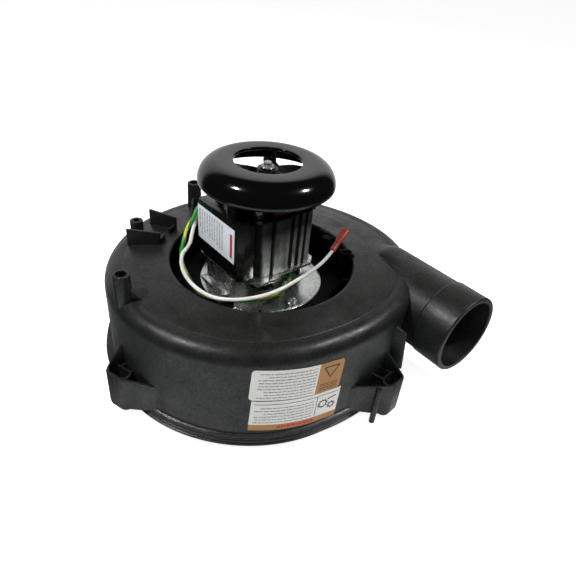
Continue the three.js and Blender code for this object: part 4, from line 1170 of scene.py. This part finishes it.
def add_upper_label():
    draw = random.Random(4)
    on_wall = wall_at(-22.4, 3.6)
    bm = bmesh.new()
    half, low, high, split = LABEL_WIDTH / 2, 45.9, 75, 14.5
    panel(bm, on_wall, -half, split, low, high, PAPER, 0, 3, "start")
    panel(bm, on_wall, split, half, low, high, PAPER, 1, 3, "end")
    for k in range(9):
        ragged = draw.uniform(0, 9) if k % 3 else 0
        print_line(bm, on_wall, -half + 5 + ragged, split - 1.5, low + 2.6 + 2.9 * k, 0.75, 2, draw)
    middle, top, reach = (split + half) / 2, high - 4.5, 6.2
    tips = [(middle - reach, top), (middle + reach, top), (middle, top - 10.6)]
    for a, b in zip(tips, tips[1:] + tips[:1]):
        stroke(bm, on_wall, a, b, 0.9, 3)
    for k in range(4):
        print_line(bm, on_wall, split + 3, half - 3, low + 2.2 + 2.0 * k, 0.6, 3, draw)
    film("upper_wall_label_film", bm, [film_white, film_ochre, ink_grey, ink_dark],
         "upper_wall_label")


def add_lower_label():
    draw = random.Random(9)
    on_wall = wall_at(-21.2, 3.2)
    bm = bmesh.new()
    half, low, high, split, band = LABEL_WIDTH / 2, 14.1, 44.9, 15.5, 20.2
    panel(bm, on_wall, -half, half, band, high, PAPER, 0)
    panel(bm, on_wall, -half, half, low, band, PAPER, 1)
    print_line(bm, on_wall, -14, 16, (low + band) / 2, 2.8, 4, draw)
    for k in range(6):
        ragged = draw.uniform(0, 7) if k % 2 else 0
        print_line(bm, on_wall, -half + 3 + ragged, split - 2, band + 2.4 + 3.0 * k, 0.75, 2, draw)
    panel(bm, on_wall, -half + 2, half - 2, high - 3.4, high - 3.0, INK, 3)
    panel(bm, on_wall, split, split + 0.4, band + 1.0, high - 3.4, INK, 3)
    wheel_mark(bm, on_wall, (split + 6, band + 12), 3.7, 0.9, 11, 3)
    wheel_mark(bm, on_wall, (split + 13.9, band + 8.4), 2.7, 0.8, 8, 3)
    stroke(bm, on_wall, (split + 10, band + 15.5), (split + 17, band + 17.5), 1.0, 3)
    film("lower_wall_label_film", bm, [film_white, film_ochre, ink_grey, ink_dark, ink_red],
         "lower_wall_label")


def add_motor_label():
    draw = random.Random(2)
    bm = bmesh.new()
    start, end, low, high = -28.5, 23.5, STACK_LOW + 15, STACK_HIGH - 3
    panel(bm, on_cover, start, end, low, high, (GAP, 0.5), 0)

    def on_film(along, up, out):
        return on_cover(along, up, out + 0.12)

    for k in range(10):
        print_line(bm, on_film, low + 4 + draw.uniform(0, 6), high - 2.5, start + 3.2 + 3.6 * k,
                   0.9 if k else 1.3, 1, draw, upright=True)
    panel(bm, on_film, end - 5.6, end - 2.6, low + 4, high - 5, INK, 2)
    film("motor_label_film", bm, [film_blue, ink_grey, ink_red], "motor_label")


# ---- everything in its place
add_base_cover()
add_gasket()
for place_number, screw_angle in enumerate(COVER_SCREW_ANGLES, 1):
    add_cover_screw(place_number, screw_angle)
add_disc()
for place_number, screw_angle in enumerate(DISC_SCREW_ANGLES, 1):
    add_disc_screw(place_number, screw_angle)
add_shroud()
add_fan()
add_shaft_parts()
add_wheel()
add_upper_label()
add_lower_label()
add_motor_label()
eased("lower_bracket", zinc, 0.3)
eased("stator_stack", stack_black, 0.4)
eased("lead_cover", cover_gloss, 0.6)
eased("upper_bracket", dark_steel, 0.3)
eased("ground_terminal", brass, 0.2)
eased("ground_screw", green_paint, 0.3)
for side_name in ("right", "rear", "left", "front"):
    eased("coil_" + side_name, copper, 1.2)
for corner_number in range(1, 5):
    eased(f"bolt_nut_{corner_number}", dark_steel, 0.3)
    eased(f"through_bolt_{corner_number}", dark_steel, 0.25)

KEPT_LOOKS = {
    "housing_seal": rubber, "shaft_seal": rubber, "lower_bearing": bronze, "upper_bearing": bronze,
    "rotor_core": turned_steel, "wheel_nut": steel, "heat_slinger": zinc}
for kept_name, kept_look in KEPT_LOOKS.items():
    kept = nodes_of_frame[kept_name].data
    kept.materials.clear()
    kept.materials.append(kept_look.material)


# ---- terminal of the white lead
TERMINAL_FROM = (31.4, 50.9, 100.3)
TERMINAL_HEADING = 109  # degrees anticlockwise from +X
TERMINAL_RISE = 28  # degrees above the level
# The sleeve's sections along its length: place, half height, half width, squareness.
SLEEVE = [(4, 1.9, 1.9, 2), (0.3, 1.9, 1.9, 2), (0, 2.2, 2.2, 2), (0.3, 2.6, 2.6, 2),
          (0.9, 2.7, 2.7, 2), (4, 2.7, 2.7, 2), (4.8, 2.35, 2.45, 2), (5.6, 2.65, 2.65, 2),
          (6.8, 2.65, 2.65, 2), (7.6, 2.3, 2.45, 2), (8.4, 2.65, 2.65, 2), (10.6, 2.65, 2.7, 2),
          (12.4, 2.4, 3.1, 2.4), (14.4, 2.35, 3.5, 3), (23.2, 2.35, 3.6, 4), (24, 2.25, 3.5, 4),
          (24.4, 2, 3.35, 4), (24.2, 1.6, 3.25, 5), (15, 1.5, 3.15, 5)]


def sleeve_ring(bm, place, half_height, half_width, squareness):
    ring = []
    for c, s in compass(40):
        reach = (abs(c) ** squareness + abs(s) ** squareness) ** (-1 / squareness)
        ring.append(bm.verts.new((half_height * c * reach, half_width * s * reach, place)))
    return ring


def add_terminal_sleeve():
    bm = bmesh.new()
    skinned(bm, [sleeve_ring(bm, *section) for section in SLEEVE])
    way = (Matrix.Translation(TERMINAL_FROM)
           @ Matrix.Rotation(math.radians(TERMINAL_HEADING), 4, "Z")
           @ Matrix.Rotation(math.radians(90 - TERMINAL_RISE), 4, "Y"))
    bmesh.ops.transform(bm, matrix=way, verts=bm.verts)
    return piece("terminal_sleeve_moulding", closed(bm), red_sleeve,
                 "terminal_sleeve")


terminal_sleeve = add_terminal_sleeve()
terminal_socket = piece("terminal_socket_clip", soften(from_frame("terminal_socket"), 0.12, 3),
                        brass, "terminal_socket")


# ---- floor and light
FLOOR_LOW = cad_low.z - 0.0005
FLOOR_REACH = 9.0
FLOOR_GLOW = 0.86


def add_floor():
    bm = bmesh.new()
    bm.faces.new([bm.verts.new((x * FLOOR_REACH, y * FLOOR_REACH, FLOOR_LOW))
                  for x, y in ((-1, -1), (1, -1), (1, 1), (-1, 1))])
    look = Look("floor_look", (0.9, 0.9, 0.9), 0.9)
    look.shader.inputs["Specular IOR Level"].default_value = 0.0
    look.shader.inputs["Emission Color"].default_value = (1, 1, 1, 1)
    look.shader.inputs["Emission Strength"].default_value = FLOOR_GLOW
    floor = mesh_object("floor", bm, look)
    floor.visible_glossy = False


LIGHTS_AIM = Vector((0, 0, 0.1))


def add_softbox(name, at, size, power):
    data = bpy.data.lights.new(name, "AREA")
    data.shape = "DISK"
    data.size = size
    data.energy = power
    lamp = bpy.data.objects.new(name, data)
    way = Vector(at) - LIGHTS_AIM
    lamp.matrix_world = Matrix.Translation(at) @ way.to_track_quat("Z", "Y").to_matrix().to_4x4()
    scene.collection.objects.link(lamp)
    return lamp


def from_point(point, azimuth, elevation, distance):
    flat = distance * math.cos(math.radians(elevation))
    x, y = polar(flat, azimuth)
    return point[0] + x, point[1] + y, point[2] + distance * math.sin(math.radians(elevation))


# The two bulbs, each by where it glints in the shroud, its direction from there, and its power.
BULBS = {"left_bulb": ((0.0216, -0.0423, 0.1726), -106.9, 50.7, 5.5),
         "right_bulb": ((0.0473, -0.0029, 0.1728), 49.3, 44.5, 4.5)}
BULB_DISTANCE = 0.9
BULB_SIZE = 0.09
# Strength of the surroundings: a backdrop on one side, the floor below, and a dim room elsewhere.
BACKDROP_WAY = (-0.883, 0.469, 0.0)
BACKDROP_LEVEL = 1.0
BACKDROP_EDGE = (0.58, 0.78)
ROOM_LEVEL = 0.03
FLOOR_LEVEL = 1.32
FLOOR_EDGE = (-0.56, -0.26)
# The floor is dimmer on two sides of the object and straight under it: way, edge, share left.
FLOOR_DIMS = [((-0.866, -0.5, 0.0), (0.45, 0.65), 0.15),
              ((0.0, 1.0, 0.0), (0.5, 0.8), 0.35),
              ((0.0, 0.0, -1.0), (0.76, 0.90), 0.2)]


def add_light():
    world = bpy.data.worlds.new("studio")
    scene.world = world
    world.use_nodes = True
    tree = world.node_tree
    tree.nodes.clear()
    link = tree.links.new

    def ranged_node(value, low, high, start, end):
        node = tree.nodes.new("ShaderNodeMapRange")
        node.interpolation_type = "SMOOTHSTEP"
        ends = {"From Min": low, "From Max": high, "To Min": start, "To Max": end}
        for socket, number in ends.items():
            node.inputs[socket].default_value = number
        link(value, node.inputs["Value"])
        return node.outputs["Result"]

    out = tree.nodes.new("ShaderNodeOutputWorld")
    seen = tree.nodes.new("ShaderNodeBackground")
    seen.inputs["Color"].default_value = (1, 1, 1, 1)
    room = tree.nodes.new("ShaderNodeBackground")
    mix = tree.nodes.new("ShaderNodeMixShader")
    path = tree.nodes.new("ShaderNodeLightPath")
    coordinates = tree.nodes.new("ShaderNodeTexCoord")
    split = tree.nodes.new("ShaderNodeSeparateXYZ")
    link(coordinates.outputs["Generated"], split.inputs[0])

    def facing(way):
        node = tree.nodes.new("ShaderNodeVectorMath")
        node.operation = "DOT_PRODUCT"
        node.inputs[1].default_value = way
        link(coordinates.outputs["Generated"], node.inputs[0])
        return node.outputs["Value"]

    def combined(operation, first, second):
        node = tree.nodes.new("ShaderNodeMath")
        node.operation = operation
        link(first, node.inputs[0])
        link(second, node.inputs[1])
        return node.outputs[0]

    backdrop = ranged_node(facing(BACKDROP_WAY), *BACKDROP_EDGE, ROOM_LEVEL, BACKDROP_LEVEL)
    under = ranged_node(split.outputs["Z"], *FLOOR_EDGE, FLOOR_LEVEL, ROOM_LEVEL)
    for way, edge, share in FLOOR_DIMS:
        under = combined("MULTIPLY", under, ranged_node(facing(way), *edge, 1, share))
    link(combined("MAXIMUM", backdrop, under), room.inputs["Strength"])
    link(path.outputs["Is Camera Ray"], mix.inputs[0])
    link(room.outputs[0], mix.inputs[1])
    link(seen.outputs[0], mix.inputs[2])
    link(mix.outputs[0], out.inputs["Surface"])
    for name, (glint, azimuth, elevation, power) in BULBS.items():
        add_softbox(name, from_point(glint, azimuth, elevation, BULB_DISTANCE), BULB_SIZE, power)
    overhead = add_softbox("overhead", (0.5, -0.5, 1.3), 1.2, 7)
    overhead.visible_glossy = False
    scene.view_settings.view_transform = "Standard"


add_floor()
add_light()
